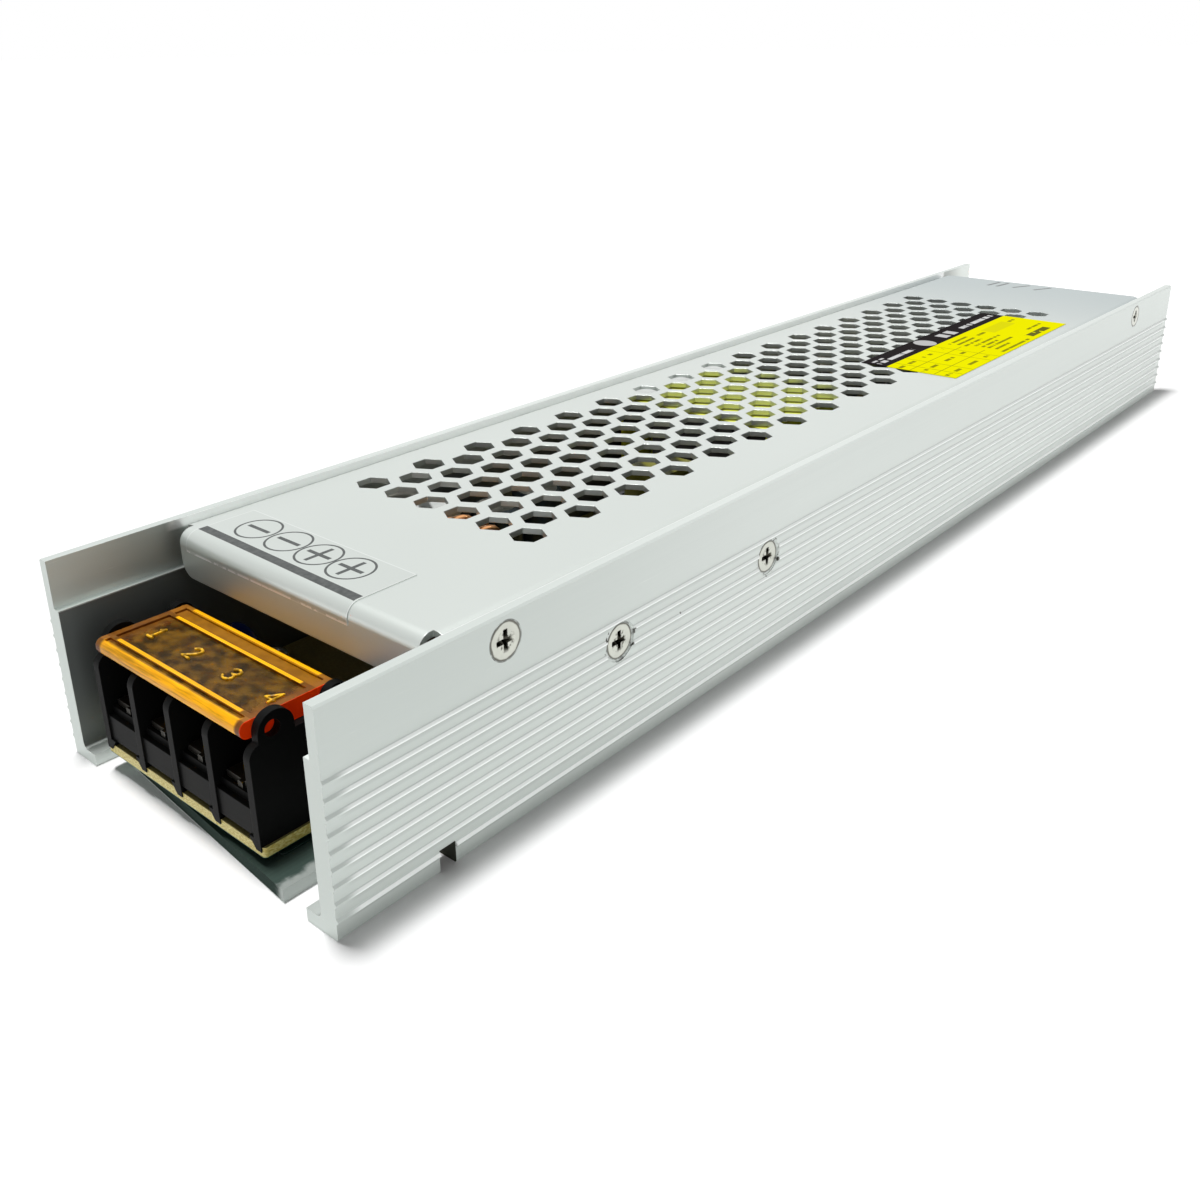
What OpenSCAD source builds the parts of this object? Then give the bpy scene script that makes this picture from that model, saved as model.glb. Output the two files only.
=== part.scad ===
// Slim enclosed switching power supply in a ribbed channel under a perforated lid.
// X runs along the length with the output end at -X, Y across, and Z up.
// The origin is the centre of the floor's underside. All sizes are in millimetres.

/* [Channel] */
// Overall length of the channel
case_len = 316; // [316:1:340]
// Width over the plain outer faces of the walls
case_w = 65; // [64.6:0.2:75]
// Height of the walls
case_h = 33; // [32.6:0.1:38]
// Thickness of the floor
floor_t = 2; // [1.6:0.1:2.4]
// Thickness of a wall below the lid's ledge
wall_t = 3; // [2.8:0.1:3.2]
// Thickness of the thinner rim above the ledge
rim_t = 1.8; // [1.6:0.1:2]
// Drop from the top of a wall to the ledge
ledge_drop = 7.7; // [7.4:0.1:8.2]
// Radius between the floor and a wall
floor_fillet = 1; // [0.4:0.1:1.4]
// Bevel on the outer edges of the walls
edge_bevel = 0.3; // [0.1:0.1:0.5]
// Number of fine ridges on each outer wall face
rib_count = 9; // [4:1:9]
// Distance between two ridges
rib_pitch = 2.465; // [2:0.005:2.5]
// Height of the lowest ridge above the underside
rib_start = 3; // [2:0.1:3.4]
// How far a ridge stands out
rib_h = 0.35; // [0.2:0.05:0.5]

/* [End slots] */
// Length of an open slot beside the floor tongue
slot_len = 20; // [12:0.5:21]
// Width of an open slot
slot_w = 4.9; // [4.2:0.1:5.2]
// Floor strip left between a slot and the wall
slot_strip = 3.1; // [2:0.1:4]
// Setback of the tongue's edge at the output end, from its near side to its far side
tongue_slant = 3.6; // [0.2:0.1:5]
// Distance of the wall notch from the output end
notch_x = 16.9; // [8:0.1:17]
// Width of the wall notch
notch_w = 2.9; // [2:0.1:4]
// Height of the wall notch
notch_h = 3.6; // [2.6:0.1:6]

/* [Lid] */
// Thickness of the lid's sheet
sheet_t = 1; // [0.8:0.1:1.1]
// Drop from the top of the walls to the lid
lid_drop = 0.7; // [0.3:0.1:1]
// Gap between the lid and each rim
lid_clear = 0.2; // [0.1:0.05:0.3]
// Setback of the lid from the output end
lid_setback_out = 19.7; // [19.4:0.1:21]
// Setback of the lid from the input end
lid_setback_in = 18; // [17.8:0.1:21]
// Outer radius of the lid's bends
lid_bend_r = 2.2; // [1.8:0.1:2.6]
// Height of the folded flange at each end
end_flange_h = 7.5; // [5:0.1:7.8]
// Radius on the lower corners of the end flanges
flange_corner_r = 2.5; // [1:0.1:3.5]
// Gap between an end flange and a side flange
relief_gap = 0.5; // [0.3:0.1:1]

/* [Vent holes] */
// Width across the flats of a hexagonal hole
hex_af = 5.3; // [4.2:0.1:5.6]
// Width of the web between two holes
hex_web = 2; // [1.6:0.1:3]
// Rows of holes in the longer columns
hex_rows = 6; // [4:1:6]
// Sideways offset of the field of holes from the middle
hex_offset_y = 2.8; // [0:0.1:4]
// Distance from the lid's output edge to the first hole
hex_margin_out = 33.3; // [20:0.1:40]
// Least distance from the last hole to the lid's input edge
hex_margin_in = 42.4; // [30:0.1:50]

/* [Labels] */
// Length of the rating label
label_len = 69; // [50:1:80]
// Width of the rating label
label_w = 23; // [16:0.5:24]
// Thickness of a label
label_t = 0.12; // [0.08:0.01:0.2]
// Turn of the rating label in degrees
label_turn = 0.8; // [0:0.1:2]
// Distance from the lid's output edge to the rating label's middle
label_x = 193.1; // [150:1:210]
// Distance of the rating label's middle from the centre line
label_y = -15; // [-16:0.5:-10]
// Length of the clear polarity sticker across the lid
sticker_w = 39.4; // [30:0.2:42]
// Distance of the polarity sticker's middle from the centre line
sticker_y = 6.2; // [0:0.1:7]
// Reach of the polarity sticker over the lid's top
sticker_reach = 12.6; // [8:0.1:14]
// Reach of the polarity sticker down the end flange
sticker_drop = 3; // [2.4:0.1:4]

/* [Wall screws] */
// Major diameter of the screws in the walls
screw_d = 3; // [2.6:0.1:3.2]
// Head diameter of a countersunk screw
flat_head_d = 5.7; // [5.2:0.1:6]
// Length of a lid screw
lid_screw_len = 6; // [5:0.5:8]
// Distance of the lid screws from the output end
lid_screw_out = 30.6; // [26:0.1:36]
// Distance of the lid screws from the input end
lid_screw_in = 31.6; // [26:0.1:36]
// Drop from the top of the wall to the lid screws
lid_screw_drop = 4; // [3.6:0.1:4.4]
// Diameter of the spot face round a clamp screw
spot_d = 6.6; // [6.2:0.1:7.4]
// Depth of the spot face below the plain wall
spot_depth = 0.15; // [0.05:0.05:0.4]
// Length of a clamp screw
clamp_screw_len = 8; // [8:0.5:10]
// Running gap between a screw's thread and the hole it is cut in
thread_gap = 0.03; // [0.02:0.01:0.05]

/* [Board] */
// Gap between the floor and the board
board_gap = 1.1; // [1:0.1:1.4]
// Thickness of the board
board_t = 1.6; // [1.2:0.1:1.6]
// Gap between the board's long edges and the walls
board_side_gap = 0.6; // [0.3:0.1:1]
// Thickness of the insulating film on the floor
film_t = 0.25; // [0.15:0.05:0.4]
// Distance of the board's end edges from the channel's ends
board_setback = 1.5; // [1.5:0.1:1.6]
// Distance from a channel end to where the board takes its full width
nose_len = 22; // [21:0.1:22.4]
// Distance of the board screws from the board's long edges
board_screw_inset = 3.6; // [3.4:0.1:4]

/* [Terminal blocks] */
// Distance between two poles
pole_pitch = 9.5; // [9.5:0.1:10]
// Poles of the output block
out_poles = 4; // [2:1:4]
// Poles of the input block
in_poles = 3; // [2:1:3]
// Thickness of a partition between poles
partition_t = 1.4; // [1.2:0.1:1.6]
// Depth of a block from front to back
block_depth = 16.9; // [16.9:0.1:17.2]
// Height of the seats of the contacts above the board
seat_h = 6.3; // [6:0.1:6.6]
// Height of the partitions above the board
partition_h = 15; // [14.2:0.1:15]
// Height of the feet under the partitions
foot_h = 1; // [0.4:0.1:1.2]
// Height of the hinge line above the board
hinge_h = 16.2; // [16.2:0.1:16.4]
// Distance of the hinge line behind the block's front face
hinge_depth = 14.3; // [14.3:0.05:14.4]
// Setback of the output block's front face from the channel's end
out_block_setback = 1.3; // [1.3:0.1:1.5]
// Setback of the input block's front face from the channel's end
in_block_setback = 0.8; // [0.6:0.1:1]
// Distance of the output block's middle from the centre line
out_block_y = 4.25; // [0:0.25:5]
// Distance of the input block's middle from the centre line
in_block_y = 5.7; // [0:0.1:8]
// Thickness of the flip cover's plate
cover_t = 1.4; // [1.2:0.1:1.6]
// Gap between the cover and the end walls of its block
cover_side_gap = 0.2; // [0.15:0.05:0.3]
// Diameter of the cover's hinge pins
pin_d = 2; // [1.8:0.1:2.2]
// Radial running gap of the hinge pins in their ears
pin_gap = 0.05; // [0.03:0.01:0.08]

/* [Contacts] */
// Thickness of a contact strip
contact_t = 0.9; // [0.8:0.1:1]
// Major diameter of a terminal screw
terminal_screw_d = 3.5; // [3:0.1:3.6]
// Head diameter of a terminal screw
terminal_head_d = 6.4; // [6:0.1:6.6]
// Side of the square washer under a terminal screw
washer_side = 6.8; // [6.4:0.1:7.2]
// Thickness of the square washer
washer_t = 0.8; // [0.6:0.1:0.9]

/* [Electronics] */
// Place of the main transformer along the case, from the middle, as a share of the case's length
transformer_share = -0.058; // [-0.064:0.001:-0.038]
// Distance of the main transformer from the centre line
transformer_y = 5.8; // [5.4:0.1:9]
// Length of the main transformer's core
core_len = 30.6; // [30:0.2:32]
// Width of the main transformer's core
core_w = 20; // [18:0.5:21]
// Gap between the main transformer's tape and the lid
transformer_clear = 0.4; // [0.3:0.1:1.2]
// Overall width of the main transformer's bobbin
bobbin_w = 36.4; // [32:0.2:37]
// Thickness of the yellow tape
tape_t = 0.4; // [0.2:0.1:0.5]
// Gap between the wire on a ring core and the lid
ring_clear = 1.4; // [1:0.1:3]
// Hole of a ring core as a share of its outer diameter
ring_hole = 0.56; // [0.54:0.01:0.6]
// Width of a ring core
ring_w = 9; // [8:0.5:10]
// Diameter of the copper wire on a ring core
wire_d = 1.3; // [1:0.1:1.4]
// Number of turns on the output choke
choke_turns = 22; // [10:1:22]
// Diameter of the bulk capacitors
bulk_d = 22; // [18:0.5:22]
// Gap between the bulk capacitors and the lid
bulk_clear = 1.6; // [1.2:0.1:6.6]
// Distance between two bulk capacitors
bulk_pitch = 24; // [23:0.5:24.5]
// Gap between the tall output capacitor and the lid
can_clear = 2.8; // [1.6:0.1:8]
// Gap between the auxiliary transformer and the lid
auxiliary_clear = 4.3; // [1.6:0.1:8]
// Width of the power devices
device_w = 10.2; // [9.8:0.1:10.6]
// Height of the clamp screws above the board
device_hole_h = 14.6; // [14.2:0.1:15]
// Thickness of an insulating pad
pad_t = 0.3; // [0.2:0.05:0.4]

/* [Hidden] */
$fn = 48;

// Levels and planes that the pieces share
cut = 1;
out_end = -case_len / 2;
in_end = case_len / 2;
wall_in = case_w / 2 - wall_t;
rim_in = case_w / 2 - rim_t;
ledge_z = case_h - ledge_drop;
board_z = floor_t + board_gap;
board_top = board_z + board_t;
board_half = wall_in - board_side_gap;
slot_outer = wall_in - slot_strip;
slot_inner = slot_outer - slot_w;
lid_top = case_h - lid_drop;
lid_under = lid_top - sheet_t;
lid_half = rim_in - lid_clear;
lid_out_x = out_end + lid_setback_out;
lid_in_x = in_end - lid_setback_in;
lid_len = lid_in_x - lid_out_x;
headroom = lid_under - board_top;

// Distance from the middle for a share of the case's length, so that the pieces spread with it
function along(share) = share * case_len;

// The field of hexagonal holes
hex_pitch = hex_af + hex_web;
hex_column = hex_pitch * cos(30);
hex_first_x = lid_out_x + hex_margin_out;
hex_columns = 1 + floor((lid_len - hex_margin_out - hex_margin_in) / hex_column);
function hex_x(column) = hex_first_x + column * hex_column;
function hex_y(column, row) = hex_offset_y
    + (row - (hex_rows - 1 - column % 2) / 2) * hex_pitch;

// Places of the screws along the case
lid_screw_xs = [out_end + lid_screw_out, in_end - lid_screw_in];
rectifier_xs = [out_end + 54.3, out_end + 94.6];
transistor_xs = [along(0.0633), along(0.1899)];
board_screw_xs = [out_end + 32, along(-0.1203), in_end - 34];
device_z = board_top + device_hole_h;

// Terminal block levels, measured from the board's top, and depths from its front face
ear_r = 2.1;
front_ear = [4.4, hinge_h - 0.2];
front_ear_r = 2.8;
snap_at = [3.9, hinge_h + 0.2];
snap_d = 1.8;
cover_top = hinge_h + 1.7;
rear_step = 2.1;
rear_wall_t = 2;
rear_wall_h = 12.5;
front_step = [1, 1.2];
screw_depth = 7.9;
tail_depth = 12.9;
tail_size = [1, 1.2];
tail_below = 0.5;
pocket_depth = 4;
terminal_shank_len = contact_t + washer_t + 3.2;
function block_half(poles) = (poles * pole_pitch + partition_t) / 2;
function pole_y(poles, i) = (i - (poles - 1) / 2) * pole_pitch;

// Main transformer levels above the board
core_foot = 2;
core_spine = 4.2;
core_leg = 4;
flange_t = 1;
part_gap = 0.1;
core_h = headroom - transformer_clear - tape_t - core_foot;
core_top = core_foot + core_h;
lower_flange = core_foot + core_spine + part_gap;
upper_flange = core_top - core_spine - part_gap - flange_t;

// Ring cores, which stand on the board with their axis along X
ring_foot = 0.2;
ring_out = (headroom - ring_clear - ring_foot) / 2;
ring_od = 2 * (ring_out - wire_d);
ring_id = ring_od * ring_hole;
ring_thick = (ring_od - ring_id) / 2;
ring_flat = ring_w - ring_thick;
ring_mid = (ring_od + ring_id) / 4;
ring_axis_z = board_top + ring_foot + ring_out;

// Sizes of the smaller pieces, with a diameter or length first
can_d = 10;
can_low_h = 16;
can_gap = 0.5;
can_pitch = 11.5;
bulk_h = headroom - bulk_clear;
lead_out = 2.4;
lead_pitch = 2.54;
spacer_d = 6.4;
board_head_d = 5.4;
board_head_h = 2;
nut_flange_d = 7;
near_disc = [10, 3.6];
mains_disc = [8, 3.6];
thermistor_disc = [13, 4.6];
chip_size = [19.6, 6.4];
chip_legs = 8;
optocoupler_size = [4.8, 6.4];
optocoupler_legs = 2;

// Places of the pieces on the board
transformer_at = [along(transformer_share), transformer_y];
choke_at = [along(-0.3269), 1];
can_at = [choke_at.x + 2.3, choke_at.y + ring_out + can_gap + can_d / 2];
auxiliary_at = [along(-0.1725), -2];
auxiliary_size = [16, 14.4, headroom - auxiliary_clear];
resistor_at = [along(-0.2468), -3];
optocoupler_at = [along(-0.0949), -18];
chip_at = [along(-0.0506), -18];
driver_at = [along(0.0585), -14];
driver_size = [13, 12, 12];
bulk_at = [along(0.2089), -12];
bridge_at = [along(0.3165), 21];
mains_choke_at = [along(0.3576), -8];
near_disc_at = [out_end + 23.5, 21];
mains_disc_at = [along(0.4019), 12.5];
mains_disc_pitch = 9;
fuse_at = [along(0.4241), -14];
thermistor_at = [along(0.4241), 17.5];

// Film capacitors: place along and across, then length, width and height
film_cases = [[along(0.0111), -20, 13, 6, 11],
    [along(0.3987), -8, 9, 18, 16],
    [along(0.3608), 14.5, 18, 8, 15]];

// Silicone: plugs in the lid's outermost row of holes, and a bead beside the output choke
plug_r = 3;
plug_fit = 0.07;
dome_r = 6;
bead_x = [0.3, 7.3];
bead_in = 4.5;
bead_over = 1.5;
bead_rise = 0.53;
bead_drop = 0.6;

// Box between its lowest and its highest corner
module box(low, high) {
    translate(low) cube(high - low);
}

// Outline with round corners between its lowest and its highest corner
module round_rect(low, high, r) {
    translate([low.x + r, low.y]) square([high.x - low.x - 2 * r, high.y - low.y]);
    translate([low.x, low.y + r]) square([high.x - low.x, high.y - low.y - 2 * r]);
    for (x = [low.x + r, high.x - r], y = [low.y + r, high.y - r])
        translate([x, y]) circle(r);
}

// Extrudes a YZ outline along X
module along_x(from, to) {
    translate([from, 0, 0]) rotate([90, 0, 90]) linear_extrude(to - from) children();
}

// Extrudes an XZ outline along Y
module along_y(from, to) {
    translate([0, to, 0]) rotate([90, 0, 0]) linear_extrude(to - from) children();
}

// Turns what points up so that it points out of the wall on one side, at the wall's outer face
module on_wall(x, side, z) {
    translate([x, side * case_w / 2, z]) rotate([-90 * side, 0, 0]) children();
}

// Cross recess cut into a screw head whose top lies at z = 0
module cross_recess(r, depth) {
    intersection() {
        translate([0, 0, -depth]) cylinder(h = depth + cut, r1 = r * 0.35, r2 = r * (1 + 0.65 * cut / depth));
        union() {
            translate([-r, -r * 0.24, -depth]) cube([2 * r, r * 0.48, depth + cut]);
            translate([-r * 0.24, -r, -depth]) cube([r * 0.48, 2 * r, depth + cut]);
        }
    }
}

// Countersunk screw that points down, with the top of its head at z = 0
module flat_screw(length) {
    head_h = (flat_head_d - screw_d) / 2;
    difference() {
        union() {
            translate([0, 0, -head_h]) cylinder(h = head_h, d1 = screw_d, d2 = flat_head_d);
            translate([0, 0, -length]) cylinder(h = length - head_h + part_gap, d = screw_d);
        }
        cross_recess(flat_head_d * 0.3, head_h);
    }
}

// Hole for a countersunk screw, wider than the screw by the thread gap all round
module flat_screw_hole(length) {
    head_h = (flat_head_d - screw_d) / 2;
    translate([0, 0, -head_h])
        cylinder(h = head_h + cut, d1 = screw_d + 2 * thread_gap,
            d2 = flat_head_d + 2 * cut + 2 * thread_gap);
    translate([0, 0, -length]) cylinder(h = length, d = screw_d + 2 * thread_gap);
}

// Round-headed screw that points down, with the underside of its head at z = 0
module pan_screw(d, length, head_d, head_h) {
    edge_r = head_h * 0.4;
    difference() {
        union() {
            rotate_extrude() {
                square([head_d / 2 - edge_r, head_h]);
                square([head_d / 2, head_h - edge_r]);
                translate([head_d / 2 - edge_r, head_h - edge_r]) circle(edge_r);
            }
            translate([0, 0, -length]) cylinder(h = length + part_gap, d = d);
        }
        translate([0, 0, head_h]) cross_recess(head_d * 0.3, head_h * 0.6);
    }
}

// Half of the channel's section, from the middle to the outer face of one wall
module half_section() {
    half = case_w / 2;
    ribs = [for (i = [0 : rib_count - 1], p = [[0, -0.35], [rib_h, -0.12], [rib_h, 0.12], [0, 0.5]])
        [half + p.x, rib_start + i * rib_pitch + p.y]];
    polygon(concat(
        [[0, 0], [half - edge_bevel, 0], [half, edge_bevel]],
        ribs,
        [[half, case_h - edge_bevel], [half - edge_bevel, case_h], [rim_in, case_h],
         [rim_in, ledge_z], [wall_in, ledge_z], [wall_in, floor_t], [0, floor_t]]));
    translate([wall_in - floor_fillet, floor_t]) difference() {
        square(floor_fillet);
        translate([0, floor_fillet]) circle(floor_fillet);
    }
}

// Open slot with a round inner end, beside the floor tongue at the end that x points to
module end_slot(side_x, side_y) {
    mid_y = side_y * (slot_inner + slot_outer) / 2;
    reach = slot_len - slot_w / 2;
    translate([side_x * (in_end - reach), mid_y, -cut]) cylinder(h = floor_t + 2 * cut, d = slot_w);
    translate([side_x * (in_end - reach / 2 + cut), mid_y, floor_t / 2])
        cube([reach + 2 * cut, slot_w, floor_t + 2 * cut], center = true);
}

module channel() {
    color("gainsboro") difference() {
        along_x(out_end, in_end) {
            half_section();
            mirror([1, 0]) half_section();
        }
        for (side_x = [-1, 1], side_y = [-1, 1])
            end_slot(side_x, side_y);
        translate([0, 0, -cut]) linear_extrude(floor_t + 2 * cut)
            polygon([[out_end - cut, -slot_inner - cut], [out_end, -slot_inner - cut],
                [out_end, -slot_inner], [out_end + tongue_slant, slot_inner],
                [out_end + tongue_slant, slot_inner + cut], [out_end - cut, slot_inner + cut]]);
        box([out_end + notch_x, -case_w / 2 - cut, -cut],
            [out_end + notch_x + notch_w, -slot_outer + cut, notch_h]);
        for (x = lid_screw_xs, side = [-1, 1])
            on_wall(x, side, case_h - lid_screw_drop) flat_screw_hole(rim_t + cut);
        for (x = rectifier_xs)
            clamp_hole(x, -1);
        for (x = transistor_xs)
            clamp_hole(x, 1);
        board_screw_places()
            translate([0, 0, -cut]) cylinder(h = floor_t + 2 * cut, d = screw_d + 2 * thread_gap);
    }
}

// Spot face and countersink of a clamp screw in a wall
module clamp_hole(x, side) {
    on_wall(x, side, device_z) {
        translate([0, 0, -spot_depth]) {
            cylinder(h = spot_depth + rib_h + cut, d = spot_d);
            flat_screw_hole(wall_t + cut);
        }
    }
}

// Section of the lid across the case
module lid_section() {
    difference() {
        round_rect([-lid_half, ledge_z - 2 * lid_bend_r], [lid_half, lid_top], lid_bend_r);
        round_rect([-lid_half + sheet_t, ledge_z - 3 * lid_bend_r], [lid_half - sheet_t, lid_under],
            lid_bend_r - sheet_t);
        translate([-lid_half - cut, ledge_z - 3 * lid_bend_r])
            square([2 * lid_half + 2 * cut, 3 * lid_bend_r]);
    }
}

// Section of the lid along the case, with a flange at each end
module lid_end_section() {
    low = lid_top - end_flange_h;
    difference() {
        round_rect([lid_out_x, low - 2 * lid_bend_r], [lid_in_x, lid_top], lid_bend_r);
        round_rect([lid_out_x + sheet_t, low - 3 * lid_bend_r], [lid_in_x - sheet_t, lid_under],
            lid_bend_r - sheet_t);
        translate([lid_out_x - cut, low - 3 * lid_bend_r])
            square([lid_len + 2 * cut, 3 * lid_bend_r]);
    }
}

module mesh_lid() {
    end_half = lid_half - lid_bend_r - relief_gap;
    corner_x = lid_bend_r + relief_gap;
    color("silver") difference() {
        union() {
            along_x(lid_out_x + corner_x, lid_in_x - corner_x) lid_section();
            intersection() {
                along_y(-end_half, end_half) lid_end_section();
                along_x(lid_out_x - cut, lid_in_x + cut)
                    round_rect([-end_half, lid_top - end_flange_h], [end_half, lid_top + 2 * flange_corner_r],
                        flange_corner_r);
            }
        }
        for (column = [0 : hex_columns - 1], row = [0 : hex_rows - 1 - column % 2])
            translate([hex_x(column), hex_y(column, row), lid_under - cut])
                cylinder(h = sheet_t + 2 * cut, d = hex_af / cos(30), $fn = 6);
        for (x = lid_screw_xs, side = [-1, 1])
            on_wall(x, side, case_h - lid_screw_drop)
                translate([0, 0, -lid_screw_len - cut])
                    cylinder(h = lid_screw_len, d = screw_d + 2 * thread_gap);
    }
}

module lid_screws() {
    color("lightgray") for (x = lid_screw_xs, side = [-1, 1])
        on_wall(x, side, case_h - lid_screw_drop) flat_screw(lid_screw_len);
}

module rating_label() {
    color("yellow") translate([lid_out_x + label_x, label_y, lid_top]) rotate(label_turn)
        linear_extrude(label_t) square([label_len, label_w], center = true);
}

// Clear film that runs over the lid's top, round its bend and down the end flange
module polarity_sticker() {
    bend = [lid_out_x + lid_bend_r, lid_top - lid_bend_r];
    color("whitesmoke") along_y(sticker_y - sticker_w / 2, sticker_y + sticker_w / 2) {
        translate([bend.x, lid_top]) square([sticker_reach - lid_bend_r, label_t]);
        translate([lid_out_x - label_t, lid_top - sticker_drop]) square([label_t, sticker_drop - lid_bend_r]);
        intersection() {
            translate(bend) difference() {
                circle(lid_bend_r + label_t);
                circle(lid_bend_r);
            }
            translate([lid_out_x - cut, bend.y]) square([lid_bend_r + cut, lid_bend_r + cut]);
        }
    }
}

// Outline of the board, or of the film under it when it is set in from the edges
module board_outline(inset, slot_side) {
    noses = [[out_end, 1, out_block_y, block_half(out_poles)],
        [in_end, -1, in_block_y, block_half(in_poles)]];
    full_out = out_end + nose_len;
    full_in = in_end - nose_len;
    round_rect([full_out + inset, -board_half + inset], [full_in - inset, board_half - inset], 1);
    for (nose = noses) {
        tip = nose[0] + nose[1] * (board_setback + slot_side * 2.6);
        base = nose[0] + nose[1] * (nose_len + 4);
        low = nose[2] - nose[3] - 0.4;
        high = nose[2] + nose[3] + 0.4;
        round_rect([min(tip, base), max(low, -slot_inner * slot_side - board_half * (1 - slot_side))],
            [max(tip, base), min(high, slot_inner * slot_side + board_half * (1 - slot_side))], 0.6);
    }
}

// Puts a child at each board screw, at the floor's underside level
module board_screw_places() {
    for (x = board_screw_xs, side = [-1, 1])
        translate([x, side * (board_half - board_screw_inset), 0]) children();
}

module circuit_board() {
    color("darkkhaki") difference() {
        translate([0, 0, board_z]) linear_extrude(board_t) board_outline(0, 0);
        board_screw_places() cylinder(h = board_top + cut, d = screw_d + 0.4);
        contact_tail_places() cylinder(h = 4 * board_t, r = norm(tail_size) / 2 + part_gap, center = true);
        device_lead_places() cylinder(h = 4 * board_t, d = 1.2, center = true);
    }
}

module insulation_sheet() {
    color("honeydew") difference() {
        translate([0, 0, floor_t]) linear_extrude(film_t) board_outline(floor_fillet, 1);
        board_screw_places() cylinder(h = board_z, d = spacer_d + 1);
    }
}

module board_spacers() {
    color("white") board_screw_places() translate([0, 0, floor_t]) difference() {
        cylinder(h = board_gap, d = spacer_d);
        translate([0, 0, -cut]) cylinder(h = board_gap + 2 * cut, d = screw_d + 0.4);
    }
}

module board_screws() {
    color("lightgray") board_screw_places()
        translate([0, 0, board_top]) pan_screw(screw_d, board_top - 0.5, board_head_d, board_head_h);
}

// Places a terminal block's pieces, which are drawn with their front face at x = 0 and point to +x
module at_output() {
    translate([out_end + out_block_setback, out_block_y, board_top]) children();
}

module at_input() {
    translate([in_end - in_block_setback, in_block_y, board_top]) rotate(180) children();
}

// Outline of a partition, with a step down behind the hinge line's ears
module partition_outline() {
    step_x = hinge_depth - ear_r - 0.3;
    corner_r = 2;
    round_rect([0, foot_h], [step_x, partition_h], corner_r);
    translate([0, foot_h]) square([step_x, partition_h - foot_h - corner_r]);
    translate([step_x - corner_r, foot_h])
        square([block_depth - step_x + corner_r, hinge_h - rear_step - foot_h]);
    translate([1, 0]) square([block_depth - 2, foot_h]);
}

// Outline of an end wall, which has the ears for the cover
module end_wall_outline() {
    partition_outline();
    translate(front_ear) circle(front_ear_r);
    translate([front_ear.x - front_ear_r, partition_h - 3])
        square([2 * front_ear_r, front_ear.y - partition_h + 3]);
    translate([hinge_depth, hinge_h]) circle(ear_r);
    translate([hinge_depth - ear_r, hinge_h - rear_step - 1]) square([2 * ear_r, rear_step + 1]);
}

module terminal_block(poles) {
    half = block_half(poles);
    face = 0.3;
    difference() {
        union() {
            box([face, -half + partition_t / 2, foot_h],
                [face + front_step.x, half - partition_t / 2, seat_h - front_step.y]);
            box([face + front_step.x - part_gap, -half + partition_t / 2, foot_h],
                [block_depth, half - partition_t / 2, seat_h]);
            box([block_depth - rear_wall_t, -half + partition_t / 2, foot_h],
                [block_depth, half - partition_t / 2, rear_wall_h]);
            for (i = [1 : poles - 1])
                along_y(i * pole_pitch - half, i * pole_pitch - half + partition_t) partition_outline();
            for (y = [-half, half - partition_t])
                along_y(y, y + partition_t) end_wall_outline();
        }
        for (i = [0 : poles - 1]) {
            translate([screw_depth, pole_y(poles, i), seat_h - pocket_depth])
                cylinder(h = pocket_depth + cut, d = terminal_screw_d + 1.1);
            translate([tail_depth, pole_y(poles, i), seat_h / 2])
                cube([tail_size.x + 2 * part_gap, tail_size.y + 2 * part_gap, 2 * seat_h], center = true);
        }
        translate([hinge_depth, 0, hinge_h]) rotate([90, 0, 0])
            cylinder(h = 2 * half + cut, d = pin_d + 2 * pin_gap, center = true);
        translate([snap_at.x, 0, snap_at.y]) rotate([90, 0, 0])
            cylinder(h = 2 * half + cut, d = snap_d + 0.6, center = true);
    }
}

// Flip cover: a plate with a thick front bead, end skirts, ridges along it and two hinge pins
module terminal_cover(poles) {
    half = block_half(poles) - partition_t - cover_side_gap;
    under = cover_top - cover_t;
    bead = [2.5, 2.5];
    bead_front = 0.1;
    bead_r = 1.15;
    skirt_t = 1;
    skirt_h = 3;
    rear = hinge_depth + 1.2;
    sunk_bands = [[0.95, 1.95], [2.75, 11.4], [12.2, rear - 1.2]];
    sunk = 0.35;
    end_margin = 1.2;
    boss_r = ear_r - 0.35;
    pin_len = partition_t + cover_side_gap - 0.2;
    difference() {
        union() {
            along_y(-half, half) {
                round_rect([bead_front, cover_top - bead.y], [bead_front + bead.x, cover_top], bead_r);
                translate([bead_front + bead_r, under])
                    square([rear - bead_front - bead_r - cover_t / 2, cover_t]);
                translate([rear - cover_t / 2, under + cover_t / 2]) circle(cover_t / 2);
            }
            for (y = [-half, half - skirt_t])
                along_y(y, y + skirt_t) {
                    round_rect([1.6, cover_top - skirt_h], [rear - 1, cover_top - 0.5], 0.8);
                    translate([hinge_depth, hinge_h]) circle(boss_r);
                }
        }
        for (band = sunk_bands)
            box([band[0], -half + end_margin, cover_top - sunk],
                [band[1], half - end_margin, cover_top + cut]);
    }
    for (side = [-1, 1]) {
        translate([hinge_depth, side * (half - skirt_t / 2), hinge_h]) rotate([-90 * side, 0, 0])
            cylinder(h = pin_len + skirt_t / 2, d = pin_d);
        translate([snap_at.x, side * (half - part_gap), snap_at.y]) rotate([-90 * side, 0, 0])
            cylinder(h = part_gap + cover_side_gap * 0.75, d = snap_d);
    }
}

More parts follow.
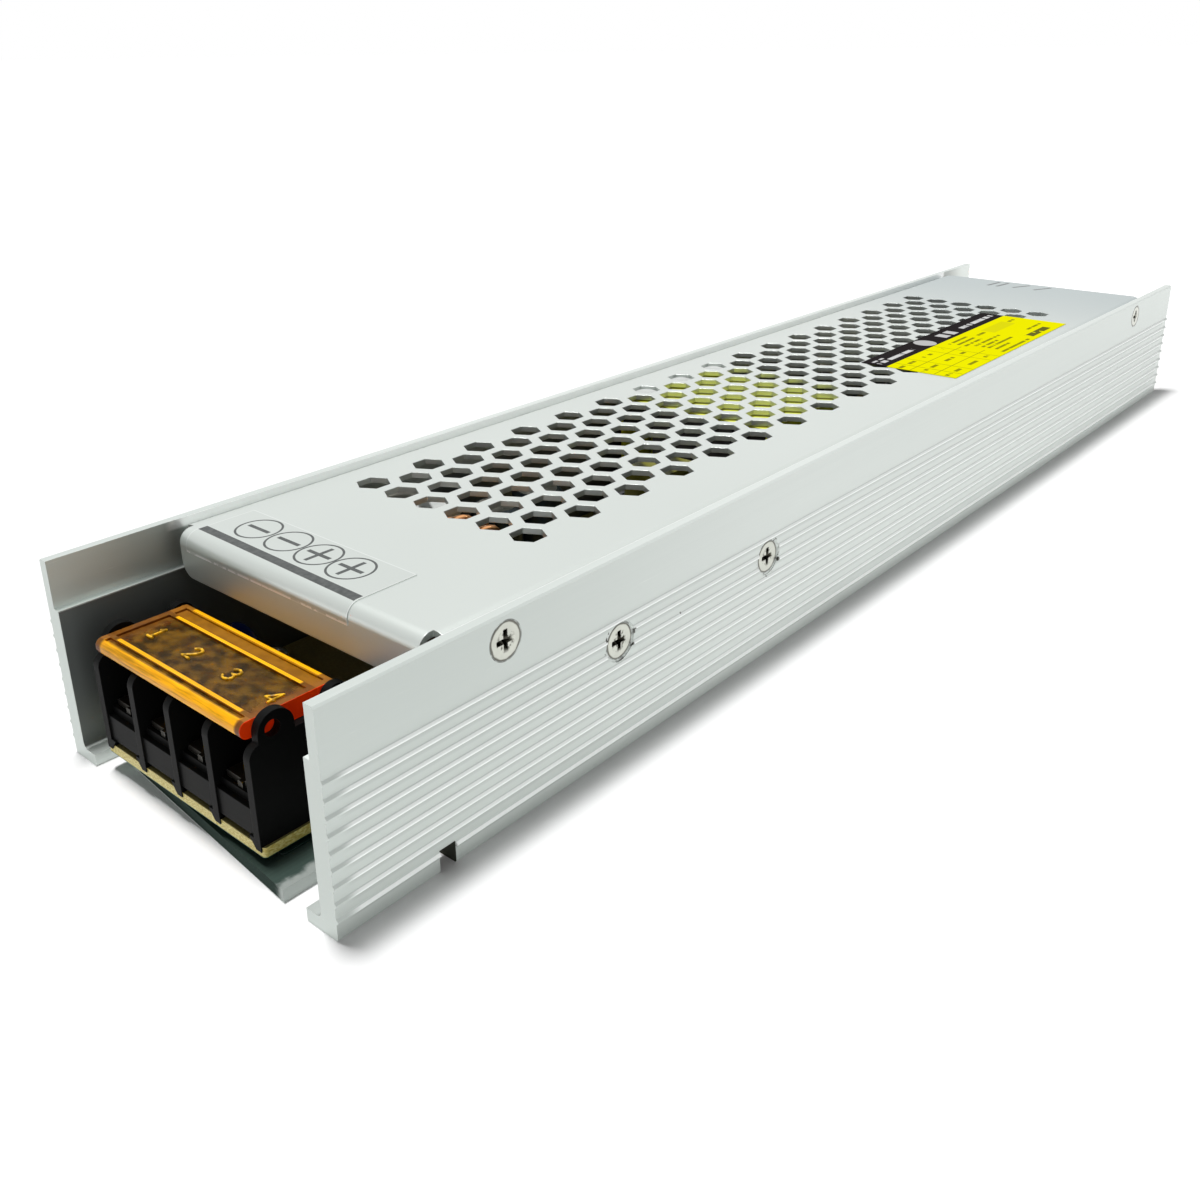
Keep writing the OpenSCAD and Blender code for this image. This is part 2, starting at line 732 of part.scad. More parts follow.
// Contact strips with a hole for the screw, a locking tab in front and a solder tail behind
module terminal_contacts(poles) {
    width = 7.6;
    front = 1.9;
    for (i = [0 : poles - 1])
        translate([0, pole_y(poles, i), seat_h]) {
            difference() {
                union() {
                    box([front, -width / 2, 0], [tail_depth + 0.7, width / 2, contact_t]);
                    box([front - 0.5, -0.5, 0], [front + 0.5, 0.5, contact_t]);
                }
                translate([screw_depth, 0, -cut])
                    cylinder(h = contact_t + 2 * cut, d = terminal_screw_d + 2 * thread_gap);
            }
            translate([tail_depth, 0, 0]) box(
                [-tail_size.x / 2, -tail_size.y / 2, -seat_h - board_t - tail_below],
                [tail_size.x / 2, tail_size.y / 2, contact_t / 2]);
        }
}

// Puts a child at each contact's solder tail, at the level of the board's top
module contact_tail_places() {
    at_output() for (i = [0 : out_poles - 1])
        translate([tail_depth, pole_y(out_poles, i), 0]) children();
    at_input() for (i = [0 : in_poles - 1])
        translate([tail_depth, pole_y(in_poles, i), 0]) children();
}

module terminal_screws(poles) {
    for (i = [0 : poles - 1])
        translate([screw_depth, pole_y(poles, i), seat_h + contact_t + washer_t])
            pan_screw(terminal_screw_d, terminal_shank_len, terminal_head_d, 2.4);
}

module terminal_washers(poles) {
    for (i = [0 : poles - 1])
        translate([screw_depth, pole_y(poles, i), seat_h + contact_t]) difference() {
            translate([0, 0, washer_t / 2]) cube([washer_side, washer_side, washer_t], center = true);
            translate([0, 0, -cut]) cylinder(h = washer_t + 2 * cut, d = terminal_screw_d + 0.3);
        }
}

module output_terminal_block() {
    color("dimgray") at_output() terminal_block(out_poles);
}

module output_terminal_cover() {
    color("orange") at_output() terminal_cover(out_poles);
}

module output_contacts() {
    color("silver") at_output() terminal_contacts(out_poles);
}

module output_terminal_screws() {
    color("lightgray") at_output() terminal_screws(out_poles);
}

module output_terminal_washers() {
    color("gainsboro") at_output() terminal_washers(out_poles);
}

module input_terminal_block() {
    color("dimgray") at_input() terminal_block(in_poles);
}

module input_terminal_cover() {
    color("orange") at_input() terminal_cover(in_poles);
}

module input_contacts() {
    color("silver") at_input() terminal_contacts(in_poles);
}

module input_terminal_screws() {
    color("lightgray") at_input() terminal_screws(in_poles);
}

module input_terminal_washers() {
    color("gainsboro") at_input() terminal_washers(in_poles);
}

// Puts a child at a power device's seat on a wall, with +y pointing into the case
module at_wall_seat(x, side) {
    translate([x, side * wall_in, board_top]) rotate(side > 0 ? 180 : 0) children();
}

// Power device with a metal tab, three leads and its back on the insulating pad
module power_device() {
    tab_t = 1.3;
    body_h = 9.2;
    foot = 1.8;
    tab_top = device_hole_h + 2.8;
    translate([0, pad_t, 0]) {
        difference() {
            union() {
                box([-device_w / 2, 0, foot], [device_w / 2, tab_t, tab_top]);
                box([-device_w / 2, 0.4, foot], [device_w / 2, 4.5, foot + body_h]);
            }
            translate([0, -cut, device_hole_h]) rotate([-90, 0, 0]) cylinder(h = tab_t + 2 * cut, d = 3.7);
        }
        for (i = [-1 : 1])
            box([i * lead_pitch - 0.4, lead_out, -board_t - tail_below],
                [i * lead_pitch + 0.4, lead_out + 0.5, foot + part_gap]);
    }
}

// Puts a child at each power device's lead, at the level of the board's top
module device_lead_places() {
    for (x = rectifier_xs, i = [-1 : 1])
        at_wall_seat(x, -1) translate([i * lead_pitch, pad_t + lead_out + 0.25, 0]) children();
    for (x = transistor_xs, i = [-1 : 1])
        at_wall_seat(x, 1) translate([i * lead_pitch, pad_t + lead_out + 0.25, 0]) children();
}

module output_rectifiers() {
    color("darkslategray") for (x = rectifier_xs)
        at_wall_seat(x, -1) power_device();
}

module switching_transistors() {
    color("darkslategray") for (x = transistor_xs)
        at_wall_seat(x, 1) power_device();
}

module insulating_pad() {
    width = device_w + 3.8;
    difference() {
        box([-width / 2, 0, 0.2], [width / 2, pad_t, device_hole_h + 4.4]);
        translate([0, -cut, device_hole_h]) rotate([-90, 0, 0])
            cylinder(h = pad_t + 2 * cut, d = screw_d + 0.4);
    }
}

module device_pads() {
    color("lightsteelblue") {
        for (x = rectifier_xs)
            at_wall_seat(x, -1) insulating_pad();
        for (x = transistor_xs)
            at_wall_seat(x, 1) insulating_pad();
    }
}

module clamp_screws() {
    color("lightgray") {
        for (x = rectifier_xs)
            on_wall(x, -1, device_z) translate([0, 0, -spot_depth]) flat_screw(clamp_screw_len);
        for (x = transistor_xs)
            on_wall(x, 1, device_z) translate([0, 0, -spot_depth]) flat_screw(clamp_screw_len);
    }
}

// Hexagonal nut with a flange, seated on the tab of a power device
module flange_nut() {
    translate([0, pad_t + 1.3, device_hole_h]) rotate([-90, 0, 0]) difference() {
        union() {
            cylinder(h = 0.6, d = nut_flange_d);
            cylinder(h = 3, d = 5.5 / cos(30), $fn = 6);
        }
        translate([0, 0, -cut]) cylinder(h = 3 + 2 * cut, d = screw_d + 2 * thread_gap);
    }
}

module clamp_nuts() {
    color("silver") {
        for (x = rectifier_xs)
            at_wall_seat(x, -1) flange_nut();
        for (x = transistor_xs)
            at_wall_seat(x, 1) flange_nut();
    }
}

// Rounded section of a ring core, as a 2D outline beside the axis
module ring_section(grow) {
    half = ring_thick / 2 + grow;
    translate([ring_mid - half, -ring_flat / 2]) square([2 * half, ring_flat]);
    for (y = [-ring_flat / 2, ring_flat / 2])
        translate([ring_mid, y]) circle(half);
}

// One turn of wire round the ring core
module ring_turn() {
    bend_r = ring_thick / 2 + wire_d / 2;
    translate([ring_mid, 0, 0]) {
        for (x = [-bend_r, bend_r])
            translate([x, 0, 0]) cylinder(h = ring_flat, d = wire_d, center = true, $fn = 24);
        for (end = [0, 1])
            mirror([0, 0, end]) translate([0, 0, ring_flat / 2]) rotate([90, 0, 0])
                rotate_extrude(angle = 180) translate([bend_r, 0]) circle(d = wire_d, $fn = 24);
    }
}

// Stands a ring core's pieces on the board, with the ring's axis along X
module at_ring(place) {
    translate([place.x, place.y, ring_axis_z]) rotate([0, 90, 0]) children();
}

module output_choke_core() {
    color("darkolivegreen") at_ring(choke_at) rotate_extrude() ring_section(-part_gap);
}

module output_choke_winding() {
    color("chocolate") at_ring(choke_at)
        for (i = [0 : choke_turns - 1])
            rotate(i * 360 / choke_turns) ring_turn();
}

module mains_choke_core() {
    color("darkolivegreen") at_ring(mains_choke_at) rotate_extrude() ring_section(-part_gap);
}

module mains_choke_winding() {
    color("chocolate") at_ring(mains_choke_at)
        for (side = [0, 180], i = [-3 : 3])
            rotate(side + i * 21) ring_turn();
}

// Round capacitor with a crimp near its foot and a cross in its top
module can(d, h) {
    r = d / 2;
    difference() {
        rotate_extrude() polygon([[0, 0], [r - 0.5, 0], [r, 0.6], [r, 1.6], [r - 0.4, 2.1], [r, 2.6],
            [r, h - 0.7], [r - 0.7, h], [r - 1.1, h], [r - 1.1, h - 0.3], [0, h - 0.3]]);
        for (turn = [0, 90])
            rotate(turn) translate([-r * 0.6, -0.15, h - 0.5]) cube([r * 1.2, 0.3, cut]);
    }
}

module output_capacitors() {
    color("darkslateblue") {
        translate([can_at.x, can_at.y, board_top]) can(can_d, headroom - can_clear);
        for (i = [1 : 3])
            translate([can_at.x + i * can_pitch, can_at.y, board_top]) can(can_d, can_low_h);
    }
}

module bulk_capacitors() {
    color("darkslateblue") for (i = [-1 : 1])
        translate([bulk_at.x + i * bulk_pitch, bulk_at.y, board_top]) can(bulk_d, bulk_h);
}

module at_transformer() {
    translate([transformer_at.x, transformer_at.y, board_top]) children();
}

module transformer_core() {
    color("darkslategray") at_transformer() {
        difference() {
            box([-core_len / 2, -core_w / 2, core_foot], [core_len / 2, core_w / 2, core_top]);
            box([-core_len / 2 + core_leg, -core_w / 2 - cut, core_foot + core_spine],
                [core_len / 2 - core_leg, core_w / 2 + cut, core_top - core_spine]);
        }
        translate([0, 0, core_foot + 1]) cylinder(h = core_h - 2, d = 11);
    }
}

module transformer_bobbin() {
    flange_x = core_len / 2 - core_leg - 2 * part_gap;
    rail_x = core_len / 2 - 2 * part_gap;
    rail_y = core_w / 2 + part_gap;
    half = bobbin_w / 2;
    color("black") at_transformer() difference() {
        union() {
            for (z = [lower_flange, upper_flange])
                box([-flange_x, -half, z], [flange_x, half, z + flange_t]);
            for (side = [0, 180])
                rotate(side) {
                    box([-rail_x, rail_y, 0], [rail_x, half, lower_flange + flange_t]);
                    box([-rail_x, rail_y, upper_flange], [rail_x, half, core_top]);
                }
            translate([0, 0, lower_flange]) cylinder(h = upper_flange - lower_flange + flange_t, d = 14);
        }
        translate([0, 0, lower_flange - cut]) cylinder(h = core_h, d = 11.4);
    }
}

// Outline of the coil with the bobbin's tube taken out
module coil_outline(grow) {
    half_x = core_len / 2 - core_leg - 1.2;
    difference() {
        round_rect([-half_x - grow, -bobbin_w / 2 + 1 - grow], [half_x + grow, bobbin_w / 2 - 1 + grow], 7);
        circle(d = 14 + 2 * part_gap);
    }
}

module transformer_winding() {
    color("goldenrod") at_transformer() translate([0, 0, lower_flange + flange_t + part_gap])
        linear_extrude(upper_flange - lower_flange - flange_t - 2 * part_gap) coil_outline(0);
}

// Yellow tape: a ring round the coil, and a band over the top and down the bobbin's two sides
module transformer_tape() {
    half_x = core_len / 2;
    half_y = bobbin_w / 2;
    color("yellow") at_transformer() {
        translate([0, 0, lower_flange + flange_t + part_gap])
            linear_extrude(upper_flange - lower_flange - flange_t - 2 * part_gap) difference() {
                coil_outline(tape_t);
                coil_outline(0);
                circle(d = 15);
            }
        difference() {
            box([-half_x, -half_y - tape_t, lower_flange], [half_x, half_y + tape_t, core_top + tape_t]);
            box([-half_x - cut, -half_y, 0], [half_x + cut, half_y, core_top]);
        }
    }
}

// Small wound core: an E-shaped frame lying flat round a taped coil, standing on the board
module small_core(size) {
    difference() {
        box([-size.x / 2, -size.y / 2, size.z * 0.3], [size.x / 2, size.y / 2, size.z * 0.75]);
        box([-size.x * 0.36, -size.y * 0.34, 0], [size.x * 0.36, size.y * 0.34, size.z]);
    }
}

module small_coil(size) {
    half = [size.x * 0.36 - part_gap, size.y * 0.34 - part_gap];
    linear_extrude(size.z) round_rect([-half.x, -half.y], [half.x, half.y], 1.5);
}

module auxiliary_core() {
    color("darkslategray") translate([auxiliary_at.x, auxiliary_at.y, board_top]) small_core(auxiliary_size);
}

module auxiliary_winding() {
    color("olive") translate([auxiliary_at.x, auxiliary_at.y, board_top]) small_coil(auxiliary_size);
}

module driver_core() {
    color("darkslategray") translate([driver_at.x, driver_at.y, board_top]) small_core(driver_size);
}

module driver_winding() {
    color("yellow") translate([driver_at.x, driver_at.y, board_top]) small_coil(driver_size);
}

// Plug that rises from the transformer's tape into a hole of the lid, with a domed top
module silicone_plug(x, y) {
    base = board_top + core_top + tape_t;
    translate([x, y, base]) cylinder(h = lid_under - base, r = plug_r);
    intersection() {
        translate([x, y, lid_under - part_gap]) cylinder(h = sheet_t, r = hex_af / 2 - plug_fit);
        translate([x, y, lid_under + sheet_t * 0.9 - dome_r]) sphere(dome_r);
    }
}

module silicone_glue() {
    top_y = hex_y(0, hex_rows - 1);
    color("white") {
        for (column = [0 : 2 : hex_columns - 1])
            if (abs(hex_x(column) - transformer_at.x) < core_len / 2 + 1)
                silicone_plug(hex_x(column), top_y);
        difference() {
            along_x(choke_at.x + bead_x[0], choke_at.x + bead_x[1])
                round_rect([choke_at.y + ring_out - bead_in, ring_axis_z + ring_out * bead_rise],
                    [can_at.y - can_d / 2 + bead_over, ring_axis_z + ring_out - bead_drop], 1.4);
            translate([choke_at.x, choke_at.y, ring_axis_z]) rotate([0, 90, 0])
                cylinder(h = 4 * ring_w, r = ring_out + part_gap, center = true);
            translate([can_at.x, can_at.y, board_top]) cylinder(h = headroom, d = can_d + 2 * part_gap);
        }
    }
}

// Flat-backed rectifier with four leads, standing on the board
module bridge_rectifier() {
    half = [11, 1.75];
    foot = 2;
    top = 20.5;
    hole_z = 15;
    bevel = 2.8;
    lead_half = [0.5, 0.4];
    lead_xs = [-3 * lead_pitch, -lead_pitch, lead_pitch, 3 * lead_pitch];
    color("black") translate([bridge_at.x, bridge_at.y, board_top]) {
        difference() {
            box([-half.x, -half.y, foot], [half.x, half.y, top]);
            translate([0, 0, hole_z]) rotate([90, 0, 0])
                cylinder(h = 2 * half.y + 2 * cut, d = screw_d + 0.6, center = true);
            translate([half.x, 0, top]) rotate([0, 45, 0])
                cube([bevel, 2 * half.y + 2 * cut, bevel], center = true);
        }
        for (x = lead_xs)
            box([x - lead_half.x, -lead_half.y, 0], [x + lead_half.x, lead_half.y, foot + part_gap]);
    }
}

// Boxed film capacitors: one beside the driver transformer and two on the mains side
module film_capacitors() {
    color("khaki") for (c = film_cases)
        translate([c[0], c[1], board_top])
            linear_extrude(c[4]) round_rect([-c[2] / 2, -c[3] / 2], [c[2] / 2, c[3] / 2], 0.6);
}

// Round flat body on two leads, with its face across the case
module disc(size) {
    r = size[0] / 2;
    thick = size[1];
    leg = 2;
    edge = thick * 0.35;
    translate([0, 0, leg + r]) rotate([0, 90, 0]) rotate_extrude() {
        translate([0, -thick / 2]) square([r - edge, thick]);
        translate([0, -thick / 2 + edge]) square([r, thick - 2 * edge]);
        for (y = [-thick / 2 + edge, thick / 2 - edge])
            translate([r - edge, y]) circle(edge);
    }
    for (y = [-r * 0.6, r * 0.6])
        translate([0, y, 0]) cylinder(h = leg + r * 0.4, d = 0.7, $fn = 16);
}

module disc_capacitors() {
    color("royalblue") {
        translate([near_disc_at.x, near_disc_at.y, board_top]) disc(near_disc);
        for (side = [-0.5, 0.5])
            translate([mains_disc_at.x, mains_disc_at.y + side * mains_disc_pitch, board_top])
                disc(mains_disc);
    }
}

module surge_thermistor() {
    color("darkgreen") translate([thermistor_at.x, thermistor_at.y, board_top]) disc(thermistor_disc);
}

// Ceramic fuse tube between two end caps, lying across the case on its leads
module mains_fuse() {
    tube_len = 20;
    cap_len = 4;
    cap_at = (tube_len - cap_len) / 2;
    axis_z = 4.2;
    color("linen") translate([fuse_at.x, fuse_at.y, board_top]) {
        translate([0, 0, axis_z]) rotate([90, 0, 0]) {
            cylinder(h = tube_len, d = 4.6, center = true);
            for (z = [-cap_at, cap_at])
                translate([0, 0, z]) cylinder(h = cap_len, d = 5.2, center = true);
        }
        for (y = [-cap_at, cap_at])
            translate([0, y, 0]) cylinder(h = axis_z - 1, d = 0.9, $fn = 16);
    }
}

// Moulded chip with two rows of legs, lying along the case
module chip(size, legs) {
    foot = 0.5;
    body_h = 3.3;
    mark_deep = 0.5;
    leg_half = 0.3;
    leg_t = 0.3;
    leg_out = size.y / 2 + 0.7;
    leg_top = 1.9;
    difference() {
        box([-size.x / 2, -size.y / 2, foot], [size.x / 2, size.y / 2, foot + body_h]);
        translate([-size.x / 2, 0, foot + body_h - mark_deep]) cylinder(h = cut, d = 1.6);
    }
    for (i = [0 : legs - 1], side = [0, 180])
        rotate(side) translate([(i - (legs - 1) / 2) * lead_pitch, 0, 0]) {
            box([-leg_half, size.y / 2 - part_gap, leg_top - leg_t], [leg_half, leg_out, leg_top]);
            box([-leg_half, leg_out - leg_t, 0], [leg_half, leg_out, leg_top]);
        }
}

module control_chip() {
    color("dimgray") translate([chip_at.x, chip_at.y, board_top]) chip(chip_size, chip_legs);
}

module optocoupler() {
    color("white") translate([optocoupler_at.x, optocoupler_at.y, board_top])
        chip(optocoupler_size, optocoupler_legs);
}

// Round-bodied resistors that lie along the case on bent leads
module power_resistors() {
    apart = 6;
    axis_z = 3.4;
    bend_x = 8;
    wire = 0.8;
    color("lightblue") for (side = [-0.5, 0.5])
        translate([resistor_at.x, resistor_at.y + side * apart, board_top]) {
            translate([0, 0, axis_z]) rotate([0, 90, 0]) {
                cylinder(h = 12, d = 4.4, center = true);
                cylinder(h = 2 * bend_x + wire, d = wire, center = true, $fn = 16);
            }
            for (x = [-bend_x, bend_x])
                translate([x, 0, 0]) cylinder(h = axis_z, d = wire, $fn = 16);
        }
}

channel();
mesh_lid();
lid_screws();
rating_label();
polarity_sticker();
circuit_board();
insulation_sheet();
board_spacers();
board_screws();
output_terminal_block();
output_terminal_cover();
output_contacts();
output_terminal_screws();
output_terminal_washers();
input_terminal_block();
input_terminal_cover();
input_contacts();
input_terminal_screws();
input_terminal_washers();
output_rectifiers();
switching_transistors();
device_pads();
clamp_screws();
clamp_nuts();
output_choke_core();
output_choke_winding();
output_capacitors();
transformer_core();
transformer_bobbin();
transformer_winding();
transformer_tape();
auxiliary_core();
auxiliary_winding();
silicone_glue();
bulk_capacitors();
bridge_rectifier();
driver_core();
driver_winding();
mains_choke_core();
mains_choke_winding();
film_capacitors();
disc_capacitors();
mains_fuse();
surge_thermistor();
control_chip();
optocoupler();
power_resistors();
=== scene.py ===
# %% [markdown]
# # A slim switching power supply under a perforated lid
# The real object is an open channel of drawn aluminium with a folded sheet lid, hexagonal
# vent holes, and a black terminal block with an orange flip cover at each end. The packed
# model already holds every piece in its place. This lesson gives each piece its finish,
# adds the fine pieces that a solid modeller leaves out, and lights the whole for a picture.
# The sizes named in the first cell are in millimetres, measured from the case's middle.

import math

import bpy
from mathutils import Matrix, Quaternion, Vector


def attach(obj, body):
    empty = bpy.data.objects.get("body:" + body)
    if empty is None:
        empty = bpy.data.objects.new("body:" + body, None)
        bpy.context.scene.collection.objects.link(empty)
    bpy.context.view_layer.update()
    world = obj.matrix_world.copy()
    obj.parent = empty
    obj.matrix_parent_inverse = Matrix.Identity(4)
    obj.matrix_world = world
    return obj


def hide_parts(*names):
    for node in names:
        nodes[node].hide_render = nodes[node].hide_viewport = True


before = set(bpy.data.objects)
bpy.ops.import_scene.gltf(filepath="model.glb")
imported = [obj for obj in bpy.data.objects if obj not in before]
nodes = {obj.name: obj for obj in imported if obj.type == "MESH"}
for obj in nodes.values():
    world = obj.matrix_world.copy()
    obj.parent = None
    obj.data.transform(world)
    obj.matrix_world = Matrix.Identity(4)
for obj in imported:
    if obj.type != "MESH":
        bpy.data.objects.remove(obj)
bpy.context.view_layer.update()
MM = 0.001
CASE_HALF, LID_TOP = 158, 32.3
OUT_FRONT, OUT_MIDDLE, OUT_POLES = -156.7, 4.25, 4
IN_FRONT, IN_MIDDLE, IN_POLES = 157.2, 5.7, 3
POLE_PITCH = 9.5

# %% [markdown]
# ## The camera
# The photograph was taken from close by, over the near left corner, so the case tapers
# strongly. A camera is placed by its point, its line of sight and its small roll. The lens
# and a small shift put the object at the same place in a square picture.

# %% Place the camera
camera = bpy.data.objects.new("camera", bpy.data.cameras.new("camera"))
bpy.context.scene.collection.objects.link(camera)
camera_place = Vector((-0.22366, -0.13058, 0.10115))
line_of_sight = Vector((0.69986, 0.61393, -0.36508))
roll = math.radians(-0.739)
turn = line_of_sight.to_track_quat("-Z", "Y") @ Quaternion((0, 0, 1), roll)
camera.matrix_world = Matrix.Translation(camera_place) @ turn.to_matrix().to_4x4()
camera.data.sensor_fit = "HORIZONTAL"
camera.data.sensor_width = 36
camera.data.lens = 35.174
camera.data.shift_x = 0.01493
camera.data.shift_y = -0.07571
camera.data.clip_start = 0.005
bpy.context.scene.camera = camera
print("camera at", [round(v, 3) for v in camera.matrix_world.translation])

# %% [markdown]
# ## Shader maths as plain expressions
# A finish is mostly sums: a mask times a colour, one minus a mask, a distance to a line.
# Built by hand these are dozens of Math nodes. A small class wraps a node's output and
# overloads the operators, so a sum in Python adds its nodes to the material.

# %% A node output that can be used in sums
class Value:
    def __init__(self, finish, socket):
        self.finish, self.socket = finish, socket

    def math(self, operation, *values):
        return self.finish.node("ShaderNodeMath", {"operation": operation}, values)

    def __add__(self, other):
        return self.math("ADD", self, other)

    def __sub__(self, other):
        return self.math("SUBTRACT", self, other)

    def __rsub__(self, other):
        return self.math("SUBTRACT", other, self)

    def __mul__(self, other):
        return self.math("MULTIPLY", self, other)

    def __truediv__(self, other):
        return self.math("DIVIDE", self, other)

    def __pow__(self, other):
        return self.math("POWER", self, other)

    def __gt__(self, other):
        return self.math("GREATER_THAN", self, other)

    def __lt__(self, other):
        return self.math("LESS_THAN", self, other)

    def least(self, other):
        return self.math("MINIMUM", self, other)

    def __abs__(self):
        return self.math("ABSOLUTE", self)

    def __mod__(self, other):
        return self.math("FLOORED_MODULO", self, other)

    __radd__ = __add__
    __rmul__ = __mul__


# %% [markdown]
# ## One finish, built node by node
# Every finish is one Principled shader. What stays the same all over is set on its own
# sockets. What changes over the surface comes from Object coordinates in millimetres, so
# a grain of 0.2 mm is 0.2 mm on every piece, and nothing slides when a cover is opened.

# %% The finish class
class Finish:
    def __init__(self, name, **constants):
        self.material = bpy.data.materials.new(name)
        self.material.use_nodes = True
        self.tree = self.material.node_tree
        self.shader = self.tree.nodes["Principled BSDF"]
        for key, value in constants.items():
            self.put(self.shader.inputs[key.replace("_", " ")], value)
        place = self.node("ShaderNodeTexCoord", output="Object")
        to_mm = {0: place, "Scale": 1 / MM}
        self.mm = self.node("ShaderNodeVectorMath", {"operation": "SCALE"}, to_mm)
        self.x, self.y, self.z = self.split(self.mm)

    def put(self, socket, value):
        if isinstance(value, Value):
            self.tree.links.new(value.socket, socket)
        elif socket.type == "RGBA" and len(value) == 3:
            socket.default_value = (*value, 1)
        else:
            socket.default_value = value

    def node(self, kind, settings=None, inputs=(), output=0):
        made = self.tree.nodes.new(kind)
        for key, value in (settings or {}).items():
            setattr(made, key, value)
        pairs = inputs.items() if isinstance(inputs, dict) else enumerate(inputs)
        for key, value in pairs:
            self.put(made.inputs[key], value)
        return Value(self, made.outputs[output])

    def split(self, vector):
        return [self.node("ShaderNodeSeparateXYZ", inputs=[vector], output=i) for i in range(3)]

    def mix(self, factor, low, high):
        settings = {"data_type": "RGBA"}
        return self.node("ShaderNodeMix", settings, {0: factor, 6: low, 7: high}, 2)

    def rise(self, value, low, high):
        settings = {"interpolation_type": "SMOOTHSTEP"}
        return self.node("ShaderNodeMapRange", settings, [value, low, high, 0.0, 1.0])

    def band(self, value, low, high, soft=0.04):
        over_high = self.rise(value, high - soft, high + soft)
        return self.rise(value, low - soft, low + soft) * (1 - over_high)

    def stretched(self, size, stretch, shift):
        scale = [s / size for s in stretch]
        settings = {"operation": "MULTIPLY_ADD"}
        return self.node("ShaderNodeVectorMath", settings, [self.mm, scale, (shift,) * 3])

    def noise(self, size, stretch=(1, 1, 1), detail=2.0, shift=0.0):
        place = self.stretched(size, stretch, shift)
        inputs = {"Vector": place, "Scale": 1.0, "Detail": detail}
        return self.node("ShaderNodeTexNoise", inputs=inputs)

    def specks(self, size, radius, share, shift=0.0):
        place = self.stretched(size, (1, 1, 1), shift)
        inputs = {"Vector": place, "Scale": 1.0}
        near = self.node("ShaderNodeTexVoronoi", inputs=inputs)
        dice = self.split(self.node("ShaderNodeTexVoronoi", inputs=inputs, output="Color"))[0]
        return (1 - self.rise(near, radius / size * 0.6, radius / size)) * (dice < share)

    def edges(self, radius):
        soft = self.node("ShaderNodeBevel", {"samples": 4}, [radius * MM])
        true = self.node("ShaderNodeNewGeometry", output="Normal")
        settings = {"operation": "DOT_PRODUCT"}
        facing = self.node("ShaderNodeVectorMath", settings, [soft, true], "Value")
        return soft, self.rise(1 - facing, 0.004, 0.12)

    def bump(self, height, depth, normal=None):
        inputs = {"Strength": 1.0, "Distance": depth * MM, "Height": height}
        if normal:
            inputs["Normal"] = normal
        return self.node("ShaderNodeBump", inputs=inputs)

    def wear(self, **inputs):
        for key, value in inputs.items():
            self.put(self.shader.inputs[key.replace("_", " ")], value)
        print(self.material.name, "has", len(self.tree.nodes), "nodes")
        return self.material


def dress(material, *names):
    for name in names:
        slots = nodes[name].data.materials
        for i in range(len(slots)):
            slots[i] = material


# %% [markdown]
# ## Drawn aluminium
# The channel is pressed through a die, so fine lines run along it, and its satin skin is
# etched and anodised. The tone drifts slowly over a hand's width, a few dark specks sit in
# the skin, and the saw leaves curved marks on both cut ends. The lines are a noise that is
# stretched two hundred times along X, which costs less than real grooves. Inside, painted
# shade darkens the skin above the ledge and more below it, and a white strip of painted
# highlight lies beside the lid. The end of the floor is painted with the deep green reflection
# of the board above it. Painted shade darkens the skin towards the near end and on the walls'
# top faces. Each ridge has a painted highlight on its crest and painted shade beneath it, and
# the edges have a painted highlight, strongest along the walls' outer top edges. A broken ring
# of painted shade lies round each wall screw, dark patches lie round the lower ones, and the
# faces inside the notch are painted dark, a painted shade.

# %% How far a point of a wall is from the nearest wall screw's axis
# Each row gives the screw's X on the wall at -Y, its X on the wall at +Y, and its Z.
WALL_SCREWS = ((-127.4, -127.4, 29), (126.4, 126.4, 29), (-103.7, 20, 19.3), (-63.4, 60, 19.3))
FAR_AWAY = 50.0


def from_screws(f):
    near = FAR_AWAY
    back = f.y > 0
    for front_x, back_x, z in WALL_SCREWS:
        x = front_x + back * (back_x - front_x)
        reach = ((f.x - x) ** 2 + (f.z - z) ** 2) ** 0.5
        near = reach.least(near)
    return near


# %% The channel's finish
RIDGE_PITCH, LOWEST_RIDGE = 2.465, 2.0


